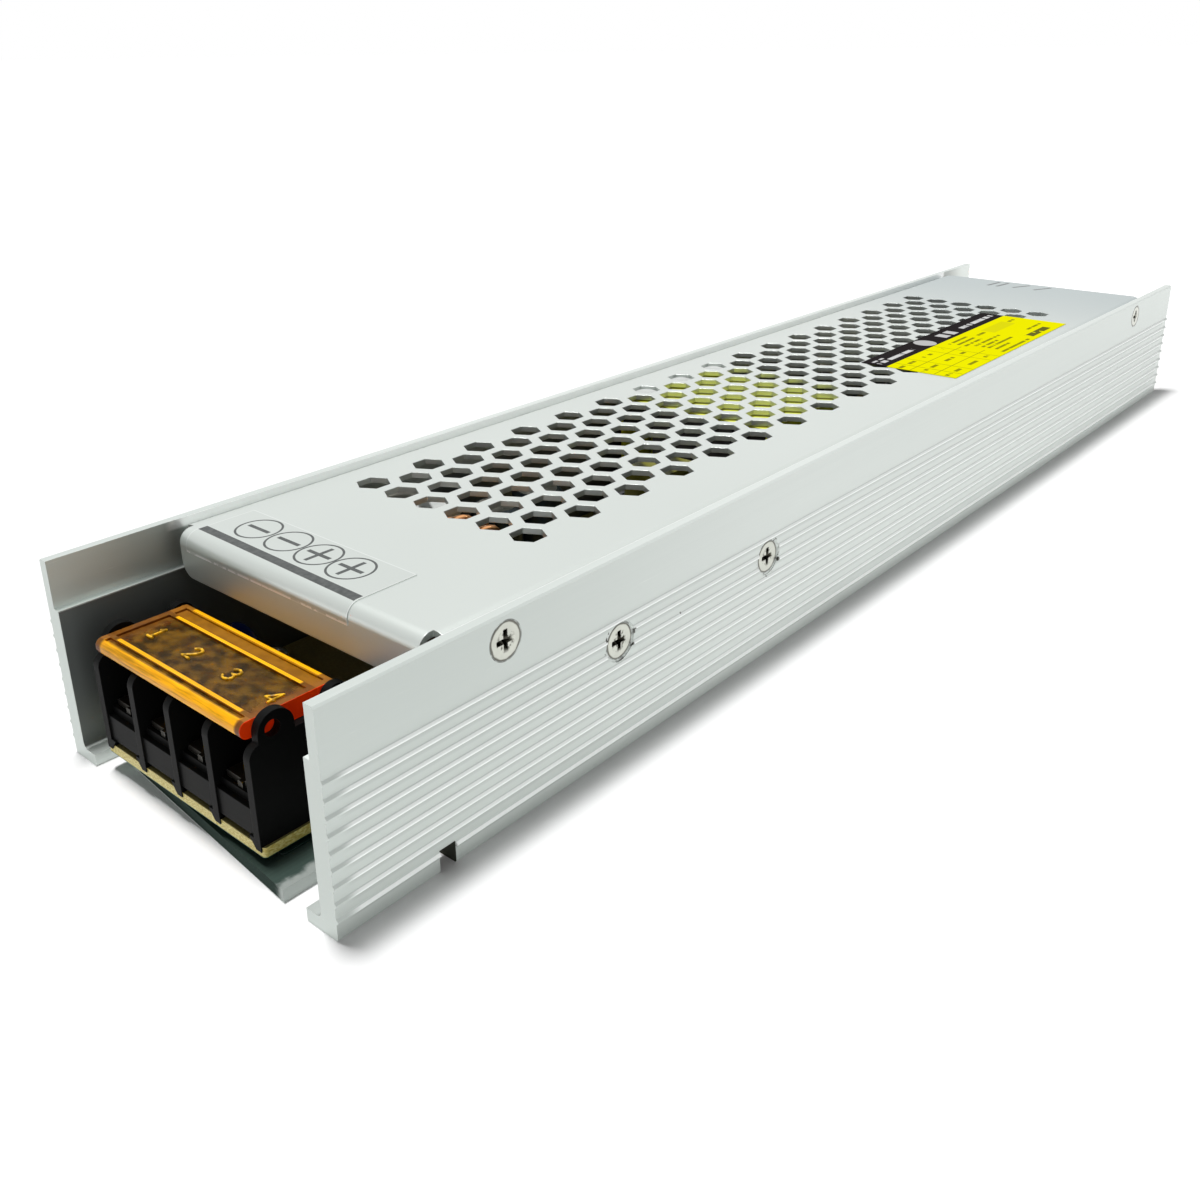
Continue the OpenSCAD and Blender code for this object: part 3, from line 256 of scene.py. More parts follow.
def drawn_aluminium():
    f = Finish("drawn_aluminium", Specular_IOR_Level=0.0)
    lines = f.noise(0.4, (0.005, 1, 1), 4.0)
    drift = f.noise(45, (0.5, 1, 1), 2.0, 7)
    grain = f.noise(0.16, detail=1.0, shift=3)
    blotch = f.noise(1.4, detail=2.0, shift=5)
    specks = f.specks(9, 0.22, 0.16)
    scuffs = f.rise(f.noise(0.5, (0.06, 1, 1.6), 3.0, 11), 0.66, 0.78)
    from_end = CASE_HALF - abs(f.x)
    end = 1 - f.rise(from_end, 0.03, 0.07)
    arc = ((f.y - 90) ** 2 + (f.z + 55) ** 2) ** 0.5
    saw = f.noise(1, detail=3.0) * 0.9 + (arc * 2.2 % 1.0)
    tongue = 1 - f.rise(abs(f.y), 21.55, 21.62)
    skirt = f.rise(abs(f.y) + blotch * 2, 20.4, 21.9)
    floor_skin = f.rise(f.z, 0.05, 0.15) * (1 - f.rise(f.z, 2.1, 2.2))
    board_reflection = floor_skin * tongue * (1 - skirt * 0.65)
    inside = (1 - f.rise(abs(f.y), 30.72, 30.8)) * f.rise(f.z, 2.1, 2.4) * (1 - end)
    highlight_beside_lid = inside * f.rise(f.z, 31.2, 31.8) * f.rise(from_end, 19, 21)
    inside = inside - highlight_beside_lid
    shade_below_ledge = inside * (1 - f.rise(f.z, 25.0, 25.2))
    shade_above_ledge = (inside - shade_below_ledge) * f.rise(from_end, 5, 20)
    outer = f.rise(abs(f.y), 32.3, 32.4)
    top = f.rise(f.z, 32.93, 32.98)
    notch_shade = f.band(f.x, -141.2, -138.1, 0.03) * f.band(f.y, -32.45, -21.5, 0.03) * (f.z < 3.7)
    row = (f.z - LOWEST_RIDGE) % RIDGE_PITCH
    ridges = outer * f.band(f.z, 2.3, 23.5) * f.rise(from_end, 1.5, 4.0)
    crest_highlight = f.band(row, 0.9, 1.38, 0.07) * ridges
    under = f.rise(row, -0.3, 0.75) * (1 - f.rise(row, 0.78, 0.9)) * ridges
    near = from_screws(f)
    # A broken ring of painted shade where each screw head meets the wall, and dark patches round
    # the lower screws.
    ring = f.band(near, 2.86, 3.02, 0.05) * f.rise(blotch, 0.3, 0.5)
    dark_patches = f.band(near, 2.9, 3.6, 0.1) * f.rise(blotch, 0.56, 0.62) * (f.z < 24)
    dark = (specks * 0.8 + (ring * 0.75 + dark_patches) * outer).least(1.0)
    tone = f.mix(drift * 0.55 + lines * 0.45, (0.655, 0.695, 0.67), (0.74, 0.78, 0.75))
    # Painted shade: the skin grows darker towards the near end.
    tone = f.mix((1 - f.rise(f.x, -CASE_HALF, -50)) * 0.5, tone, (0.46, 0.51, 0.48))
    tone = f.mix(scuffs * 0.3, tone, (0.86, 0.88, 0.86))
    # Painted shade on the walls' top faces.
    tone = f.mix(top * 0.3, tone, (0.50, 0.53, 0.51))
    # Painted highlight on each ridge's crest, and painted shade beneath it.
    tone = f.mix(crest_highlight * 0.85, tone, (0.97, 1.0, 0.98))
    tone = f.mix(under * 0.5, tone, (0.38, 0.41, 0.39))
    # Painted shade inside the channel: dark above the ledge away from the ends, darker below it.
    tone = f.mix(shade_above_ledge * 0.45 + shade_below_ledge * 0.84, tone, (0.09, 0.10, 0.097))
    # A white strip of painted highlight inside the wall beside the lid.
    tone = f.mix(highlight_beside_lid * 0.8, tone, (1.0, 1.0, 1.0))
    tone = f.mix(dark, tone, (0.07, 0.07, 0.06))
    # Painted highlight along the edges, strongest on the walls' outer top edges.
    soft, edge_highlight = f.edges(0.08)
    tone = f.mix((edge_highlight * 0.4 + top * outer * 0.9).least(1.0), tone, (0.97, 0.99, 0.97))
    # The faces inside the notch are painted dark, a painted shade.
    tone = f.mix(notch_shade * 0.9, tone, (0.03, 0.03, 0.015))
    # Painted reflection: the end of the floor shows the board's green underside, less near its
    # sides.
    green = f.mix(lines, (0.006, 0.022, 0.016), (0.030, 0.060, 0.048))
    tone = f.mix(board_reflection * 0.95, tone, green)
    height = lines * 0.25 + grain * 0.2 + saw * end * 1.2
    return f.wear(
        Base_Color=tone,
        Metallic=0.6 + inside * 0.3 - (board_reflection + notch_shade).least(1.0) * 0.56,
        Roughness=0.36 + lines * 0.06 + drift * 0.05 + inside * 0.1 - board_reflection * 0.16,
        Normal=f.bump(height * (1 - board_reflection * 0.7), 0.01, soft))


dress(drawn_aluminium(), "channel")

# %% [markdown]
# ## The lid's sheet
# The lid is a thin sheet with the same pale tone but a smoother skin, so its folded end
# mirrors the orange cover in front of it. Sheet is never quite flat: a shallow wave of a few
# centimetres makes the mirrored colours wander. Two short bars and two slanted strokes at
# the far end stand for the marks of the input's poles, and mean nothing else.

# %% The lid's finish
def sheet_tone(f):
    drift = f.noise(60, (0.6, 1, 1), 2.0, 5)
    grain = f.noise(0.22, (1, 1, 1), 2.0, 2)
    tone = f.mix(drift * 0.8 + grain * 0.2, (0.535, 0.575, 0.545), (0.62, 0.655, 0.63))
    # Painted shade: the sheet grows darker and bluer towards the far end.
    return f.mix(f.rise(f.x, 50, 140) * 0.65, tone, (0.33, 0.39, 0.405)), drift, grain


def stroke(f, ax, ay, bx, by, width):
    dx, dy = bx - ax, by - ay
    long = math.hypot(dx, dy)
    along = ((f.x - ax) * dx + (f.y - ay) * dy) / long
    across = abs((f.x - ax) * dy - (f.y - ay) * dx) / long
    outside = f.rise(across, width / 2 - 0.05, width / 2 + 0.05)
    return f.band(along, 0, long, 0.05) * (1 - outside)


def lid_sheet():
    f = Finish("lid_sheet", Metallic=0.62)
    tone, drift, grain = sheet_tone(f)
    wave = f.noise(28, (0.6, 1, 1), 1.0, 9)
    specks = f.specks(14, 0.2, 0.18, 4)
    marks = stroke(f, 129, 12.2, 136, 11.2, 1.0) + stroke(f, 129, 9.4, 136, 8.4, 1.0)
    marks = marks + stroke(f, 130, 4.8, 136, 1.8, 1.0) + stroke(f, 130, -1.6, 136, -4.6, 1.0)
    marks = marks * (f.z > LID_TOP - 0.1)
    soft, edge_highlight = f.edges(0.2)
    # Painted highlight along the sheet's edges and the rims of its holes.
    tone = f.mix(edge_highlight * 0.4, tone, (0.84, 0.86, 0.85))
    tone = f.mix(specks * 0.6, tone, (0.2, 0.2, 0.19))
    tone = f.mix(marks * 0.8, tone, (0.04, 0.04, 0.04))
    return f.wear(
        Base_Color=tone,
        Roughness=0.32 + grain * 0.06 + drift * 0.05,
        Normal=f.bump(wave * 8 + grain * 0.25, 0.01, soft))


dress(lid_sheet(), "mesh_lid")

# %% [markdown]
# ## The polarity sticker
# A clear film with dark print covers the lid's near end and wraps down over the bend. Seen
# from outside it is the sheet's own tone with a slightly glossier skin, so it is painted as
# that. The print is drawn with distances: a bar, four circles, and a plus or minus in each.

# %% The sticker's finish
# Each row gives a sign's X and Y, and 1 for a plus.
POLE_SIGNS = ((-129.97, 18.4, 0), (-130.03, 10.64, 0), (-130.2, 3.0, 1), (-130.33, -4.6, 1))
SIGN_ARM, SIGN_LINE = 2.6, 0.75


def polarity_film():
    f = Finish("polarity_film", Specular_IOR_Level=0.2)
    tone, _, grain = sheet_tone(f)
    bar = f.x + 135.58 - (f.y - 6.2) * 0.0185
    ink_mask = f.band(bar, -0.82, 0.82) * f.band(f.y, -13.2, 25.8)
    for x, y, plus in POLE_SIGNS:
        radius = ((f.x - x) ** 2 + (f.y - y) ** 2) ** 0.5
        ink_mask = ink_mask + f.band(radius, 3.42, 3.8)
        ink_mask = ink_mask + stroke(f, x, y - SIGN_ARM, x, y + SIGN_ARM, SIGN_LINE)
        if plus:
            ink_mask = ink_mask + stroke(f, x - SIGN_ARM, y, x + SIGN_ARM, y, SIGN_LINE)
    patchy = f.noise(0.9, (1, 1, 1), 3.0, 4)
    ink_mask = ink_mask.least(1.0) * (f.z > LID_TOP) * (0.8 + patchy * 0.25)
    past_edge = f.rise(f.x, -125.95, -125.8)
    within = f.band(f.y, -13.35, 25.75, 0.08) * f.rise(f.z, 29.45, 29.55) * (1 - past_edge)
    # Painted highlight on the film's cut edges.
    tone = f.mix((1 - within) * 0.4, tone, (0.86, 0.88, 0.87))
    torn = f.rise(f.noise(1.6, (1, 1, 1), 3.0, 12), 0.42, 0.5)
    # Where the film's lower edge lifts, it is painted as a broken white line, a painted
    # highlight.
    lifted_edge_highlight = (1 - f.rise(f.z, 29.5, 29.8)) * torn
    tone = f.mix(lifted_edge_highlight * 0.9, tone, (1.0, 1.0, 1.0))
    ink = f.mix(patchy, (0.018, 0.02, 0.021), (0.05, 0.055, 0.055))
    return f.wear(
        Base_Color=f.mix(ink_mask, tone, ink),
        Metallic=(1 - ink_mask) * 0.62,
        Roughness=0.3 + grain * 0.05 + ink_mask * 0.2,
        Normal=f.bump(f.noise(5, detail=1.0) + ink_mask * 0.4, 0.008))


dress(polarity_film(), "polarity_sticker")

# %% [markdown]
# ## The rating label
# A yellow coated paper label with a dark band along its upper edge and a ruled table. It
# carries no words: thin rules and broken lines stand where a maker prints them. The label is
# turned by a little less than a degree, and it dips slightly over the vent holes.

# %% The label's finish
LABEL_X, LABEL_Y, LABEL_TURN = 54.8, -15, math.radians(0.8)
HEX_FIRST_X, HEX_COLUMN, HEX_ROW, HEX_Y = -105.0, 6.322, 7.3, 2.8
TABLE_COLUMNS = ((-33.9, -31.2), (-29.2, -26), (-21.6, -17), (-13, -10.6))
PRINT_LINES = ((2.9, -5.6, 5), (1.0, -4.8, 5), (-0.9, -5, 5), (-2.8, -3.4, 12),
               (-4.6, -3.4, 6.5), (-6.1, -3.4, 11.5), (-8.0, -3.4, 5), (-10.2, -5.8, 12))


def rating_print():
    f = Finish("rating_print", Specular_IOR_Level=0.0)
    dx, dy = f.x - LABEL_X, f.y - LABEL_Y
    u = dx * math.cos(LABEL_TURN) + dy * math.sin(LABEL_TURN)
    v = dy * math.cos(LABEL_TURN) - dx * math.sin(LABEL_TURN)

    def field(low_u, high_u, low_v, high_v):
        return f.band(u, low_u, high_u, 0.05) * f.band(v, low_v, high_v, 0.05)

    def broken(low_u, high_u, middle_v, height=0.95, size=1.5):
        dashes = f.noise(size, (1, 0.05, 1), 3.0, middle_v) > 0.43
        return dashes * field(low_u, high_u, middle_v - height / 2, middle_v + height / 2)

    upright = [field(at - 0.11, at + 0.11, -11.3, 4.9) for at in (-30.4, -24.9, -14.6, -9.7)]
    level = [field(-34.3, -6.0, at - 0.1, at + 0.1) for at in (-0.45, -6.3)]
    cells = [broken(low, high, row) for row in (2.2, -3.3, -9.0) for low, high in TABLE_COLUMNS]
    rows = [broken(low, high, row, 0.8, 1.2) for row, low, high in PRINT_LINES]
    single = [broken(7.8, 12.4, 1.3), broken(28, 31.6, 1.3), broken(22, 31, -6.0, 0.8)]
    ink = sum(upright + level + cells + rows + single).least(1.0)
    stamp = field(13.4, 27.2, -0.9, 2.9)
    block = (f.noise(1.1, (1, 0.25, 1), 1.0, 3) > 0.36) * field(14.5, 27.5, -10.1, -8.0)
    round_field = 1 - f.rise(((u + 7.8) ** 2 + (v - 8.2) ** 2) ** 0.5, 2.75, 2.9)
    white = sum([
        broken(-33.4, -15.5, 7.6, 1.3, 1.7), broken(-33.2, -28, 9.3, 0.7),
        broken(13, 32.6, 8.0, 1.5, 1.7), round_field * 0.8,
        field(0.6, 3.6, 6.4, 9.6) * 0.9, field(5.2, 8.2, 6.4, 9.6) * 0.9]).least(1.0)
    band = f.mix(white * 0.75, (0.020, 0.017, 0.018), (0.7, 0.7, 0.7))
    fibre = f.noise(0.5, detail=3.0)
    yellow = f.mix(fibre * 0.6 + f.noise(20) * 0.4, (0.66, 0.63, 0.0), (0.75, 0.72, 0.002))
    tone = f.mix(stamp * 0.5, yellow, (0.50, 0.47, 0.01))
    tone = f.mix(ink * 0.72, tone, (0.06, 0.06, 0.01))
    tone = f.mix(block * 0.85, tone, (0.02, 0.02, 0.02))
    tone = f.mix(f.rise(v, 5.1, 5.2), tone, band)
    hex_u = abs((f.x - HEX_FIRST_X) % (HEX_COLUMN * 2) - HEX_COLUMN)
    hex_v = abs((f.y - HEX_Y) % HEX_ROW - HEX_ROW / 2)
    dip = f.rise((hex_u ** 2 + hex_v ** 2) ** 0.5, 1.6, 2.6)
    return f.wear(
        Base_Color=tone,
        Roughness=0.42 + fibre * 0.12,
        Normal=f.bump(f.noise(6, detail=1.0) * 2 + fibre * 0.15 + dip * 0.8, 0.012))


dress(rating_print(), "rating_label")

# %% [markdown]
# ## Plated screws
# The screws are nickel on steel: bright and a little warm, with painted shade round the head
# and in the cross, and a painted glint along their edges. For the screws in the walls the depth
# below the head's face is known from Y, so the recess is painted darker with depth, and their
# nickel is painted darker than on the other plated pieces. The other metal pieces share a plain
# version. The terminals and their contacts look almost black in the deep shade of their
# blocks, so their tone is painted dark, a painted shade, with small painted glints.

# %% Screw finishes
HEAD_FACE = 32.32


def plated(name, tone, rough, recess=False, glint=0.4):
    f = Finish(name, Metallic=1.0)
    patch = f.noise(1.8, detail=3.0)
    fine = f.noise(0.12, (1, 1, 1), 2.0, 6)
    light = [min(1, c * 1.35) for c in tone]
    colour = f.mix(patch, tone, light)
    soft, edge_highlight = f.edges(0.12)
    colour = f.mix(edge_highlight * glint, colour, (0.86, 0.85, 0.80))
    if recess:
        depth = HEAD_FACE - abs(f.y)
        near = from_screws(f)
        # Painted shade: the recess darkens with depth, dark patches near the middle widen the
        # cross, and a dark band lies round the head's rim.
        inside = f.rise(depth + patch * 0.2, 0.1, 0.45) * (1 - f.rise(near, 1.9, 2.0))
        dark_patches = f.rise(f.noise(0.6, detail=3.0, shift=8), 0.5, 0.58) * (1 - f.rise(near, 1.2, 1.9))
        edge = f.rise(near + patch * 0.5, 2.72, 2.95)
        head_shade = (inside * 0.9 + dark_patches * 0.8 + edge * 0.8).least(1.0)
        colour = f.mix(head_shade, colour, (0.045, 0.042, 0.032))
    return f.wear(
        Base_Color=colour,
        Roughness=rough + fine * 0.1 + patch * 0.05,
        Normal=f.bump(fine + patch * 2, 0.006, soft))


# The wall screws' nickel is painted darker than on the other plated pieces.
dress(plated("plated_wall_screw", (0.42, 0.43, 0.385), 0.24, True),
      "lid_screws", "clamp_screws")
dress(plated("plated_steel", (0.62, 0.60, 0.55), 0.24), "board_screws", "clamp_nuts")
# Terminals and contacts are painted almost black, a painted shade, with small painted glints;
# tinned brass and nickel are far lighter.
dress(plated("terminal_steel", (0.03, 0.028, 0.026), 0.4, glint=0.25),
      "input_terminal_screws", "output_terminal_screws",
      "input_terminal_washers", "output_terminal_washers")
dress(plated("tinned_brass", (0.03, 0.028, 0.024), 0.4, glint=0.2),
      "input_contacts", "output_contacts")

# %% [markdown]
# ## Moulded plastics and laminates
# Plain mouldings differ in colour, gloss and grain, so one function makes them all: a tone
# that drifts, a fine spark-eroded grain as bump, and softened edges with a painted highlight.

# %% A family of mouldings
def moulded(name, dark, light, rough, grain=0.2, depth=0.01, edge=0.15, metal=None, **constants):
    f = Finish(name, **constants)
    slow = f.noise(12, detail=2.0, shift=3)
    fine = f.noise(grain, detail=2.0)
    soft, edge_highlight = f.edges(edge)
    colour = f.mix(slow * 0.7 + fine * 0.3, dark, light)
    highlight = [min(1, c * 1.25 + 0.012) for c in light]
    # Painted highlight on the softened edges.
    colour = f.mix(edge_highlight * 0.5, colour, highlight)
    finish = {"Roughness": rough + fine * 0.08 + slow * 0.06, "Normal": f.bump(fine, depth, soft)}
    if metal:
        bare = metal(f).least(1.0)
        colour = f.mix(bare, colour, (0.66, 0.65, 0.61))
        finish["Metallic"] = bare
    return f.wear(Base_Color=colour, **finish)


# %% [markdown]
# Pieces on the board are a moulding and bare metal in one: leads, tabs, caps and the tops of
# cans. Each lies at a known place, so a distance in millimetres tells which part is metal.

# %% Where the pieces on the board are bare metal
def device_metal(f):
    return (f.z > 15.75) + (f.z < 6.45) + (abs(f.y) > 28.82)


def bridge_metal(f):
    return f.z < 6.66


def chip_metal(f):
    return abs(f.y + 18) > 3.22


def fuse_metal(f):
    return abs(f.y + 14) > 5.98


def resistor_metal(f):
    return abs(f.x + 77.99) > 6.03


def can_metal(f):
    bulk = f.x > 20
    across = (f.x - 66.01 + 12) % 24 - 12
    bulk_top = (across ** 2 + (f.y + 12) ** 2) ** 0.5 < 9.93
    across = (f.x + 101.0 + 5.75) % 11.5 - 5.75
    small_top = (across ** 2 + (f.y - 19.0) ** 2) ** 0.5 < 3.93
    return (f.z > 20) * (bulk * bulk_top + (1 - bulk) * small_top)


# %% Dress the mouldings
EPOXY = ((0.012, 0.012, 0.013), (0.03, 0.03, 0.032), 0.5, 0.15, 0.015)
# Each row gives the pieces' names, then a finish's name, dark and light tone, roughness, and
# where they differ from the plain ones the grain's size, its depth and the edge's radius.
MOULDINGS = (
    # The blocks are painted far darker than black plastic, a painted shade.
    ("output_terminal_block input_terminal_block", "black_moulding",
     (0.0014, 0.0015, 0.0015), (0.0035, 0.0038, 0.0036), 0.45, 0.22, 0.012, 0.12),
    ("transformer_bobbin", "black_bobbin", (0.008, 0.008, 0.009), (0.016, 0.016, 0.017), 0.4),
    ("board_spacers", "white_nylon", (0.70, 0.70, 0.66), (0.80, 0.80, 0.76), 0.45),
    ("optocoupler", "white_moulding", (0.68, 0.68, 0.65), (0.78, 0.78, 0.74), 0.4),
    ("control_chip", "chip_epoxy", *EPOXY),
    ("bridge_rectifier", "bridge_epoxy", *EPOXY),
    ("output_rectifiers switching_transistors", "device_epoxy", *EPOXY),
    ("device_pads", "grey_pad", (0.36, 0.42, 0.47), (0.44, 0.50, 0.55), 0.6, 0.5, 0.02),
    ("transformer_core auxiliary_core driver_core", "ferrite",
     (0.03, 0.03, 0.033), (0.06, 0.06, 0.065), 0.5, 0.3, 0.02),
    ("output_choke_core mains_choke_core", "ring_paint",
     (0.07, 0.10, 0.05), (0.12, 0.16, 0.07), 0.4, 0.8, 0.03),
    ("transformer_tape driver_winding", "yellow_tape",
     (0.62, 0.64, 0.035), (0.80, 0.82, 0.08), 0.32, 2.5, 0.03),
    # The auxiliary winding's yellow tape is painted as a dark olive, a painted shade.
    ("auxiliary_winding", "olive_tape", (0.15, 0.145, 0.02), (0.23, 0.22, 0.03), 0.25, 2.5, 0.03),
    ("silicone_glue", "white_silicone", (0.36, 0.38, 0.37), (0.62, 0.64, 0.62), 0.32, 1.6, 0.3),
    ("film_capacitors", "film_capacitor_case", (0.48, 0.36, 0.08), (0.58, 0.45, 0.12), 0.3),
    ("disc_capacitors", "blue_lacquer",
     (0.002, 0.012, 0.14), (0.006, 0.03, 0.24), 0.18, 1.5, 0.05),
    ("surge_thermistor", "green_lacquer",
     (0.01, 0.07, 0.03), (0.02, 0.11, 0.05), 0.2, 1.5, 0.05),
    ("mains_fuse", "fuse_ceramic", (0.66, 0.64, 0.58), (0.76, 0.74, 0.68), 0.3),
    ("power_resistors", "resistor_coating",
     (0.10, 0.22, 0.30), (0.16, 0.30, 0.38), 0.35, 1.0, 0.04),
    ("insulation_sheet", "insulating_film",
     (0.012, 0.035, 0.028), (0.02, 0.05, 0.04), 0.12, 8, 0.02),
    ("bulk_capacitors output_capacitors", "capacitor_sleeve",
     (0.008, 0.016, 0.020), (0.016, 0.03, 0.036), 0.25, 1.0, 0.01))
BARE_METAL = {
    "white_moulding": chip_metal, "chip_epoxy": chip_metal, "bridge_epoxy": bridge_metal,
    "device_epoxy": device_metal, "blue_lacquer": bridge_metal, "green_lacquer": bridge_metal,
    "fuse_ceramic": fuse_metal, "resistor_coating": resistor_metal,
    "capacitor_sleeve": can_metal}
LESS_MIRROR = {"black_moulding": 0.06, "yellow_tape": 0.25}

for names, finish, *look in MOULDINGS:
    constants = {"Specular_IOR_Level": LESS_MIRROR[finish]} if finish in LESS_MIRROR else {}
    dress(moulded(finish, *look, metal=BARE_METAL.get(finish), **constants), *names.split())
black = bpy.data.materials["black_moulding"]

# %% [markdown]
# ## The circuit board
# A tan laminate with cut edges of a paler fibre and a green lacquer underneath. Its top is
# painted far darker than the tan, a painted shade. The board lies flat, so its height tells
# the underside from the edge and the top.

# %% The board's finish
def board_laminate():
    f = Finish("board_laminate")
    weave = f.noise(0.5, (1, 1, 3), 3.0)
    slow = f.noise(9, detail=2.0)
    # Painted shade: the top is painted far darker than tan laminate.
    shaded_tan = f.mix(weave * 0.5 + slow * 0.5, (0.13, 0.105, 0.035), (0.23, 0.19, 0.07))
    fibre = f.rise(f.noise(0.3, (0.6, 0.6, 1.4), 4.0), 0.35, 0.65)
    edge = f.band(f.z, 3.2, 4.69, 0.02)
    pale = f.mix(fibre * 0.7 + slow * 0.3, (0.56, 0.42, 0.06), (0.92, 0.83, 0.34))
    colour = f.mix(edge, shaded_tan, pale)
    under = 1 - f.rise(f.z, 3.14, 3.24)
    colour = f.mix(under, colour, (0.02, 0.13, 0.06))
    return f.wear(Base_Color=colour, Roughness=0.4 + weave * 0.15 - under * 0.15,
                  Normal=f.bump(weave, 0.02))


dress(board_laminate(), "circuit_board")

# %% [markdown]
# ## Enamelled copper
# Copper wire under clear enamel: a warm metal with a glossy coat and a tone that changes a
# little from turn to turn.

# %% The wire's finish
def enamelled_copper():
    f = Finish("enamelled_copper", Metallic=1.0, Coat_Weight=0.6, Coat_Roughness=0.1)
    patch = f.noise(2.5, detail=2.0)
    return f.wear(Base_Color=f.mix(patch, (0.78, 0.30, 0.09), (0.98, 0.50, 0.22)),
                  Roughness=0.22 + patch * 0.12)


copper = enamelled_copper()
dress(copper, "transformer_winding")

# %% [markdown]
# ## The orange flip cover
# The cover is clear polycarbonate, dyed orange. Light that enters the plate leaves it
# again at its ridges and edges, so those glow bright yellow, the ends look red, and through
# the flat fields the dark block shows. One clear shader and one glowing shader are mixed by
# masks of height and place, because a dyed volume would be lost in the exported model. The
# depth behind the front face and the distance to an end are the same sums for both covers,
# which point opposite ways and differ in length by one pole.
# The glow is painted light: the ridges, the front bead, the rear line and the groove are painted
# brighter and given emission, more on the near side, and the red end faces glow too. The dark
# block seen through the fields and the redder ends are painted into the colours.

# %% The cover's finish
def dyed_polycarbonate():
    f = Finish("dyed_polycarbonate", Transmission_Weight=0.95, IOR=1.08)
    cloudy = f.rise(f.noise(1.5, (0.8, 0.6, 1), 5.0), 0.36, 0.68)
    streak = f.noise(0.5, (1, 0.05, 1), 2.0)
    far = f.x > 0
    depth = (IN_FRONT - OUT_FRONT) / 2 - abs(f.x - (IN_FRONT + OUT_FRONT) / 2)
    middle = OUT_MIDDLE + far * (IN_MIDDLE - OUT_MIDDLE)
    to_end = (OUT_POLES - far) * (POLE_PITCH / 2) - 0.9 - abs(f.y - middle)
    highlight = f.noise(0.35, (1, 0.06, 1), 4.0, 6)
    top = f.rise(f.z, 22.35, 22.5)
    front = f.rise(f.z, 20.2, 20.9) * (1 - f.rise(depth, 1.15, 1.7))
    rear = f.rise(depth, 12.05, 12.3)
    groove = f.band(depth, 1.0, 2.0) * top
    end_face = (1 - f.rise(to_end, 0.03, 0.2)) * (f.y < 5)
    near_side = 1 - f.rise(f.y, -14, 20)
    back_line = f.rise(depth, 13.7, 13.9) * (1 - f.band(depth, 14.3, 14.5) * 0.7)
    lines = f.band(depth, 2.08, 2.7) + f.band(depth, 11.5, 12.1) + back_line
    # Painted glow: where the cover lights up, as colour and emission.
    glow_mask = lines * top * f.rise(to_end, 2.4, 3.0)
    glow_mask = glow_mask + front * f.rise(to_end, 0.8, 1.6) * (0.1 + highlight * 1.3 + near_side * 0.3)
    glow_mask = (glow_mask * (0.75 + streak * 0.35)).least(1.0)
    ends = 1 - f.rise(to_end, 0.3, 4.2)
    soft, edge_highlight = f.edges(0.15)
    # Painted in: the dark block seen through the fields, brighter rear and groove, red ends.
    body = f.mix(cloudy, (0.024, 0.017, 0.003), (0.30, 0.15, 0.012))
    body = f.mix(rear * 0.6 + groove * 0.7, body, (0.55, 0.22, 0.008))
    body = f.mix(ends * 0.7, body, (0.28, 0.105, 0.018))
    body = f.mix(end_face, body, (0.85, 0.05, 0.003))
    body = f.mix(glow_mask, body, f.mix(streak, (0.86, 0.33, 0.0), (1.0, 0.52, 0.0)))
    red_glow = f.mix(end_face, (0.0, 0.0, 0.0), (0.9, 0.03, 0.0))
    glow = f.node("ShaderNodeBsdfPrincipled", inputs={
        "Base Color": body, "Roughness": 0.3, "Specular IOR Level": 0.15,
        "Emission Color": f.mix(glow_mask, red_glow, (1.0, 0.42, 0.0)), "Emission Strength": 0.2})
    clear = Value(f, f.shader.outputs[0])
    share = (0.4 + glow_mask * 0.6 + ends * 0.25 + (rear + groove) * 0.2 + edge_highlight * 0.05).least(0.97)
    both = f.node("ShaderNodeMixShader", inputs=[share, clear, glow])
    f.put(f.tree.nodes["Material Output"].inputs["Surface"], both)
    tint = f.mix(cloudy, (0.42, 0.20, 0.012), (0.75, 0.38, 0.025))
    return f.wear(Base_Color=f.mix(ends, tint, (0.95, 0.16, 0.02)),
                  Roughness=0.08 + cloudy * 0.1, Normal=f.bump(streak + cloudy, 0.006, soft))


dress(dyed_polycarbonate(), "output_terminal_cover", "input_terminal_cover")

# %% [markdown]
# ## Tubes along strokes
# Two kinds of fine piece follow a path: the raised numbers on the covers and the copper wire
# on the ring cores. One geometry tree makes both. It turns drawn lines into curves and runs
# a round section along them, and its radius, number of sides and material are inputs. Every
# tree here ends in the same two steps, so these are written once.

# %% Start a tree with named inputs, and link its last two steps
def start_tree(name, result_name, **inputs):
    tree = bpy.data.node_groups.new(name, "GeometryNodeTree")
    for key, kind in inputs.items():
        tree.interface.new_socket(name=key, in_out="INPUT", socket_type="NodeSocket" + kind)
    tree.interface.new_socket(
        name=result_name, in_out="OUTPUT", socket_type="NodeSocketGeometry")
    given = tree.nodes.new("NodeGroupInput").outputs
    return tree, given


def end_tree(tree, given, geometry):
    real = tree.nodes.new("GeometryNodeRealizeInstances")
    paint = tree.nodes.new("GeometryNodeSetMaterial")
    result = tree.nodes.new("NodeGroupOutput").inputs[0]
    join(tree, (geometry, real.inputs["Geometry"]),
         (real.outputs["Geometry"], paint.inputs["Geometry"]),
         (given["Material"], paint.inputs["Material"]), (paint.outputs["Geometry"], result))
    print(tree.name, "takes", [socket.name for socket in given if socket.name])


def join(tree, *pairs):
    for start, stop in pairs:
        tree.links.new(start, stop)


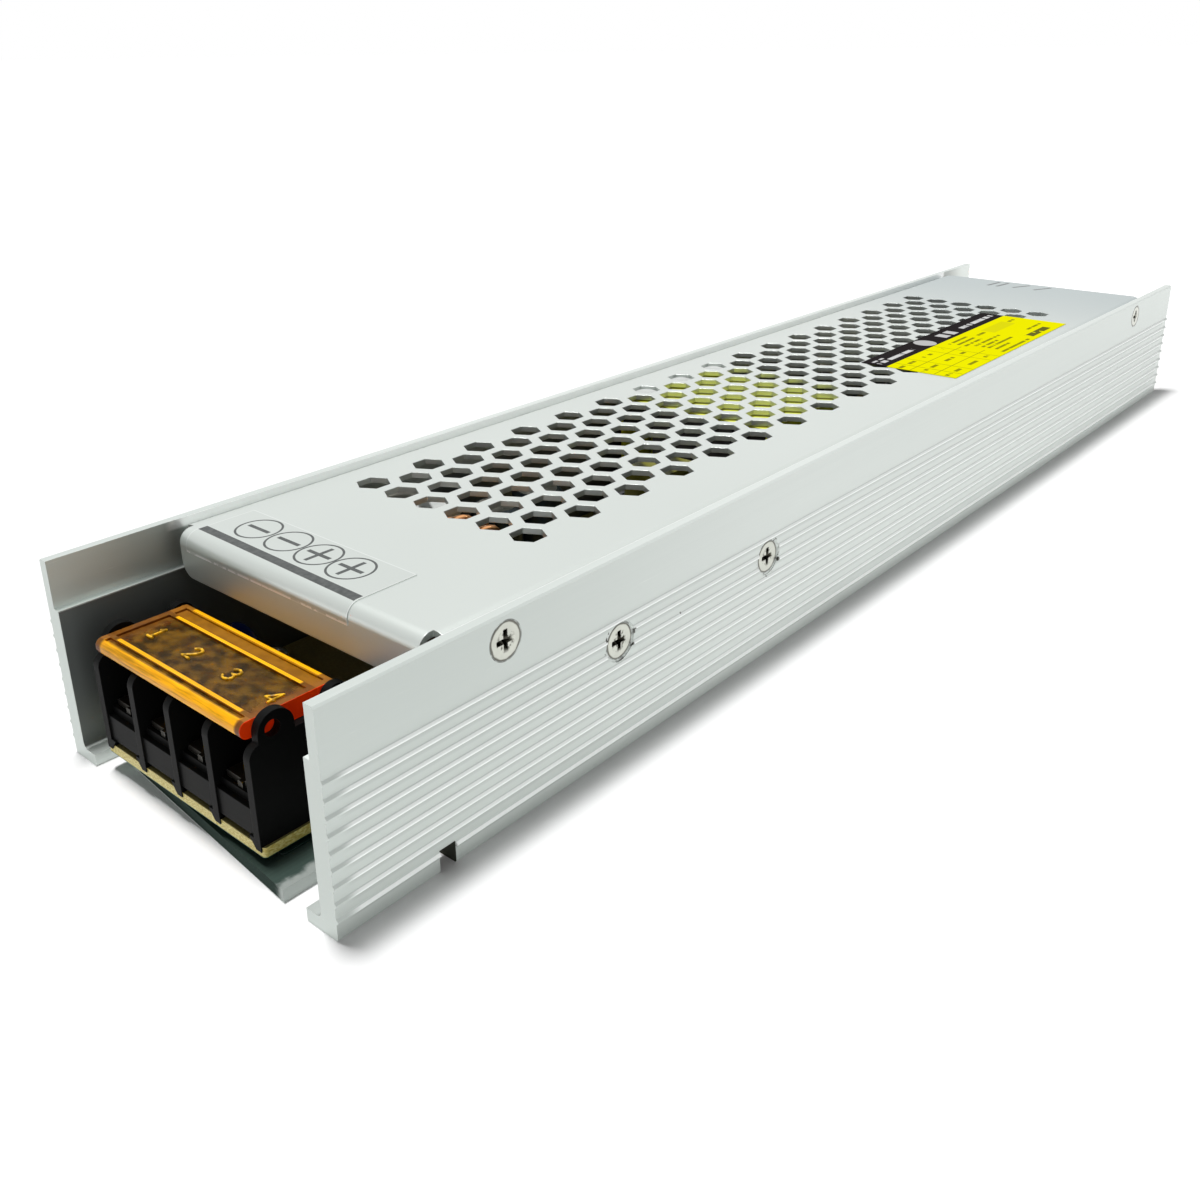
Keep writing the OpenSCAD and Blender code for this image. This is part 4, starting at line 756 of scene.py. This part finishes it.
# %% Build the tube tree
def build_tube_tree():
    tree, given = start_tree("tube_along_strokes", "Tubes", Strokes="Geometry",
                             Radius="Float", Sides="Int", Material="Material")
    path = tree.nodes.new("GeometryNodeMeshToCurve")
    ring = tree.nodes.new("GeometryNodeCurvePrimitiveCircle")
    tube = tree.nodes.new("GeometryNodeCurveToMesh")
    tube.inputs["Fill Caps"].default_value = True
    join(tree, (given["Strokes"], path.inputs["Mesh"]),
         (given["Sides"], ring.inputs["Resolution"]), (given["Radius"], ring.inputs["Radius"]),
         (path.outputs["Curve"], tube.inputs["Curve"]),
         (ring.outputs["Curve"], tube.inputs["Profile Curve"]))
    end_tree(tree, given, tube.outputs["Mesh"])
    return tree


tube_tree = build_tube_tree()


# %% Turn a tree's result into one plain mesh
def made_by(tree, name, source_mesh, **settings):
    source = bpy.data.objects.new(name + "_source", source_mesh)
    bpy.context.scene.collection.objects.link(source)
    modifier = source.modifiers.new("tree", "NODES")
    modifier.node_group = tree
    for item in tree.interface.items_tree:
        if item.name in settings:
            modifier[item.identifier] = settings[item.name]
    seen = source.evaluated_get(bpy.context.evaluated_depsgraph_get())
    mesh = bpy.data.meshes.new_from_object(seen)
    bpy.data.objects.remove(source)
    made = bpy.data.objects.new(name, mesh)
    bpy.context.scene.collection.objects.link(made)
    print(name, "has", len(mesh.polygons), "faces")
    return made


def tubes(name, strokes, **settings):
    points, edges = [], []
    for line in strokes:
        edges += [(len(points) + i, len(points) + i + 1) for i in range(len(line) - 1)]
        points += [Vector(point) * MM for point in line]
    drawn = bpy.data.meshes.new(name + "_lines")
    drawn.from_pydata(points, edges, [])
    return made_by(tube_tree, name, drawn, **settings)


# %% [markdown]
# ## Raised numbers on the covers
# Each pole has a plain number in the middle field of the cover. A number is a few strokes on
# a small grid, 2.7 mm tall, and reads from the side wall.

# %% Draw the numbers
NUMBER_SCALE, NUMBER_SETBACK, NUMBER_Z = 0.86, 5.95, 22.36
NUMERALS = {
    1: [[(0.5, 2.4), (1.2, 3.1), (1.2, 0)], [(0.4, 0), (2.0, 0)]],
    2: [[(0.1, 2.4), (0.4, 2.9), (1.1, 3.1), (1.8, 2.9), (2.1, 2.3), (1.8, 1.6), (0.1, 0),
         (2.2, 0)]],
    3: [[(0.1, 2.6), (0.6, 3.0), (1.2, 3.1), (1.9, 2.8), (2.0, 2.2), (1.7, 1.75), (1.0, 1.6),
         (1.8, 1.4), (2.15, 0.9), (1.9, 0.25), (1.1, 0), (0.5, 0.1), (0.1, 0.5)]],
    4: [[(1.7, 0), (1.7, 3.1), (0, 0.9), (2.3, 0.9)]]}


def cover_numbers(name, body, poles, front, middle, way):
    strokes = []
    for i in range(poles):
        left = ((poles - 1) / 2 - i) * POLE_PITCH - 0.1
        for line in NUMERALS[i + 1]:
            strokes.append([(front + way * (NUMBER_SETBACK + b * NUMBER_SCALE),
                             middle + way * (left - a * NUMBER_SCALE), NUMBER_Z)
                            for a, b in line])
    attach(tubes(name, strokes, Radius=0.2 * MM, Sides=8, Material=orange_line), body)


# The numbers are painted with a faint glow and bright patches, painted light like the cover's.
def lit_plastic():
    f = Finish("lit_plastic", Specular_IOR_Level=0.2, Emission_Strength=0.12)
    patch = f.noise(0.8, detail=2.0)
    glow_patches = f.rise(patch, 0.35, 0.6)
    return f.wear(Base_Color=f.mix(glow_patches, (0.22, 0.12, 0.01), (0.95, 0.55, 0.03)),
                  Emission_Color=f.mix(patch, (0.3, 0.1, 0.0), (1.0, 0.5, 0.0)),
                  Roughness=0.25 + patch * 0.1)


orange_line = lit_plastic()
BLOCKS = {"output": (OUT_POLES, OUT_FRONT, OUT_MIDDLE, 1),
          "input": (IN_POLES, IN_FRONT, IN_MIDDLE, -1)}
for name, block in BLOCKS.items():
    cover_numbers(name + "_cover_numbers", name + "_cover", *block)

# %% [markdown]
# ## Small feet under the terminal blocks
# Each partition ends in a small foot that hooks over the front edge of the board, and its
# side away from the partition slopes. A foot is drawn once, and a second tree sets a copy on
# each point. The last partition is the block's end wall, so its foot is the mirror image.
# The block at the other end of the case is turned half round, and an input turns its feet.

# %% Build the tree that sets copies on points
def build_copy_tree():
    tree, given = start_tree("copies_on_points", "Copies", Points="Geometry", Piece="Object",
                             Turn="Float", Material="Material")
    piece = tree.nodes.new("GeometryNodeObjectInfo")
    spin = tree.nodes.new("ShaderNodeCombineXYZ")
    place = tree.nodes.new("GeometryNodeInstanceOnPoints")
    join(tree, (given["Points"], place.inputs["Points"]),
         (given["Piece"], piece.inputs["Object"]),
         (piece.outputs["Geometry"], place.inputs["Instance"]),
         (given["Turn"], spin.inputs["Z"]), (spin.outputs[0], place.inputs["Rotation"]))
    end_tree(tree, given, place.outputs["Instances"])
    return tree


copy_tree = build_copy_tree()

# %% Draw a foot and its mirror image
FOOT_POINTS = ((-0.54, 0, -0.7), (-0.4, 0, -0.7), (-0.4, 1.2, -0.7), (-0.54, 1.2, -0.7),
               (-0.54, 0, 0.05), (-0.4, 0, 0.05), (-0.4, 1.8, 0.05), (-0.54, 1.8, 0.05),
               (0.5, 0, 0.05), (0.5, 1.8, 0.05),
               (-0.54, 0, 1.05), (0.5, 0, 1.05), (0.5, 2.5, 1.05), (-0.54, 2.5, 1.05))
FOOT_FACES = ((0, 3, 2, 1), (0, 1, 5, 4), (1, 2, 6, 5), (2, 3, 7, 6), (3, 0, 4, 7), (5, 6, 9, 8),
              (10, 11, 12, 13), (4, 5, 8, 11, 10), (8, 9, 12, 11), (9, 6, 7, 13, 12),
              (7, 4, 10, 13))
BEHIND_FRONT, FOOT_Z, PARTITION_HALF = 0.55, 4.68, 0.7


def foot_piece(name, side):
    mesh = bpy.data.meshes.new(name)
    points = [Vector((x, side * y, z)) * MM for x, y, z in FOOT_POINTS]
    mesh.from_pydata(points, [], [face[::side] for face in FOOT_FACES])
    made = bpy.data.objects.new(name, mesh)
    bpy.context.scene.collection.objects.link(made)
    return made


foot = foot_piece("foot", 1)
end_foot = foot_piece("end_foot", -1)

# %% Set the copies under both blocks
def block_feet(name, piece, across, front, middle, way):
    places = [(front + way * BEHIND_FRONT, middle + way * y, FOOT_Z) for y in across]
    points = bpy.data.meshes.new(name + "_points")
    points.from_pydata([Vector(p) * MM for p in places], [], [])
    turn = 0.0 if way > 0 else math.pi
    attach(made_by(copy_tree, name, points, Piece=piece, Turn=turn, Material=black), "case")


for name, (poles, *where) in BLOCKS.items():
    side_face = poles * POLE_PITCH / 2 + PARTITION_HALF
    row = [POLE_PITCH * i - side_face for i in range(poles)]
    block_feet(name + "_block_feet", foot, row, *where)
    block_feet(name + "_block_end_foot", end_foot, [side_face], *where)
for piece in (foot, end_foot):
    bpy.data.objects.remove(piece)

# %% [markdown]
# ## Copper wire on the ring cores
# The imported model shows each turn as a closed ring. A real choke is wound with one long
# wire, so here a path climbs round the core section while it walks round the ring, and its
# two ends run down into the board.

# %% Wind a ring core
RING_MIDDLE, RING_BEND, RING_FLAT, WIRE = 8.736, 3.114, 4.072, 0.65
OUTPUT_RING, MAINS_RING, IN_BOARD_Z = (-103.3, 1, 17.4), (113.0, -8, 17.4), 4.0


def section_point(share):
    straight, bend = RING_FLAT, math.pi * RING_BEND
    at = (share % 1) * 2 * (straight + bend)
    if at < straight / 2:
        return RING_BEND, at
    at -= straight / 2
    if at < bend:
        angle = at / RING_BEND
        return RING_BEND * math.cos(angle), straight / 2 + RING_BEND * math.sin(angle)
    at -= bend
    if at < straight:
        return -RING_BEND, straight / 2 - at
    at -= straight
    if at < bend:
        angle = math.pi + at / RING_BEND
        return RING_BEND * math.cos(angle), -straight / 2 + RING_BEND * math.sin(angle)
    return RING_BEND, -straight / 2 + at - bend


def wound_wire(centre, first, last, turns):
    x, y, z = centre
    steps = 30
    path = []
    for i in range(turns * steps + 1):
        out, along = section_point(i / steps)
        angle = math.radians(first + (last - first) * i / (turns * steps))
        reach = RING_MIDDLE + out
        path.append((x + along, y + reach * math.sin(angle), z - reach * math.cos(angle)))
    ends = [(*point[:2], IN_BOARD_Z) for point in (path[0], path[-1])]
    return [ends[0]] + path + [ends[1]]


output_wire = [wound_wire(OUTPUT_RING, 5, 355, 22)]
mains_wires = [wound_wire(MAINS_RING, -74, 74, 7), wound_wire(MAINS_RING, 106, 254, 7)]
for name, wires in (("output_choke", output_wire), ("mains_choke", mains_wires)):
    wound = tubes(name + "_wire", wires, Radius=WIRE * MM, Sides=10, Material=copper)
    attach(wound, "case")
    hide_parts(name + "_winding")

# %% [markdown]
# ## Floor and light
# A wide pale floor and one soft lamp above, a little behind on the left, as in a small
# product studio. The sky looks plain white to the camera and in mirrors, and so does the
# floor far from the object. That white is added for those rays only, so it lights nothing.
# Close to the object almost none is added, and the floor keeps the object's soft shadow.

# %% Rays that end in the camera or a mirror
def seen_rays(tree):
    path = tree.nodes.new("ShaderNodeLightPath").outputs
    seen = path["Is Camera Ray"]
    for name in ("Is Glossy Ray", "Is Transmission Ray"):
        both = tree.nodes.new("ShaderNodeMath")
        both.operation = "MAXIMUM"
        tree.links.new(seen, both.inputs[0])
        tree.links.new(path[name], both.inputs[1])
        seen = both.outputs[0]
    return seen


# %% Build the floor
floor_mesh = bpy.data.meshes.new("floor")
reach = 30
corners = [(-reach, -reach, 0), (reach, -reach, 0), (reach, reach, 0), (-reach, reach, 0)]
floor_mesh.from_pydata(corners, [], [(0, 1, 2, 3)])
floor = bpy.data.objects.new("floor", floor_mesh)
bpy.context.scene.collection.objects.link(floor)
paint = Finish("floor_paint", Roughness=0.9, Specular_IOR_Level=0.0, Emission_Strength=1.0)
away = (paint.x ** 2 + paint.y ** 2) ** 0.5
white = 0.03 + paint.rise(away, 100, 700)
mirrored = paint.node("ShaderNodeLightPath", output="Is Glossy Ray")
added = Value(paint, seen_rays(paint.tree)) * white + mirrored * 0.25
paint.wear(
    Base_Color=paint.mix(paint.noise(80), (0.83, 0.83, 0.83), (0.85, 0.85, 0.85)),
    Emission_Color=paint.mix(added, (0.0, 0.0, 0.0), (1.0, 1.0, 1.0)))
floor_mesh.materials.append(paint.material)

# %% Build the sky and the lamp
world = bpy.data.worlds.new("studio")
bpy.context.scene.world = world
world.use_nodes = True
sky = world.node_tree.nodes["Background"]
level = world.node_tree.nodes.new("ShaderNodeMapRange")
SKY_LIGHT, SKY_SEEN = 0.16, 1.0
level.inputs["To Min"].default_value = SKY_LIGHT
level.inputs["To Max"].default_value = SKY_SEEN
world.node_tree.links.new(seen_rays(world.node_tree), level.inputs["Value"])
world.node_tree.links.new(level.outputs[0], sky.inputs["Strength"])
sky.inputs["Color"].default_value = (1, 1, 1, 1)

softbox = bpy.data.lights.new("softbox", "AREA")
softbox.shape, softbox.size, softbox.energy = "SQUARE", 0.24, 25
lamp = bpy.data.objects.new("softbox", softbox)
lamp_place = Vector((-0.12, 0.16, 1.5))
facing = (-lamp_place).to_track_quat("-Z", "Y")
lamp.matrix_world = Matrix.Translation(lamp_place) @ facing.to_matrix().to_4x4()
bpy.context.scene.collection.objects.link(lamp)

scene = bpy.context.scene
scene.view_settings.view_transform = "Standard"
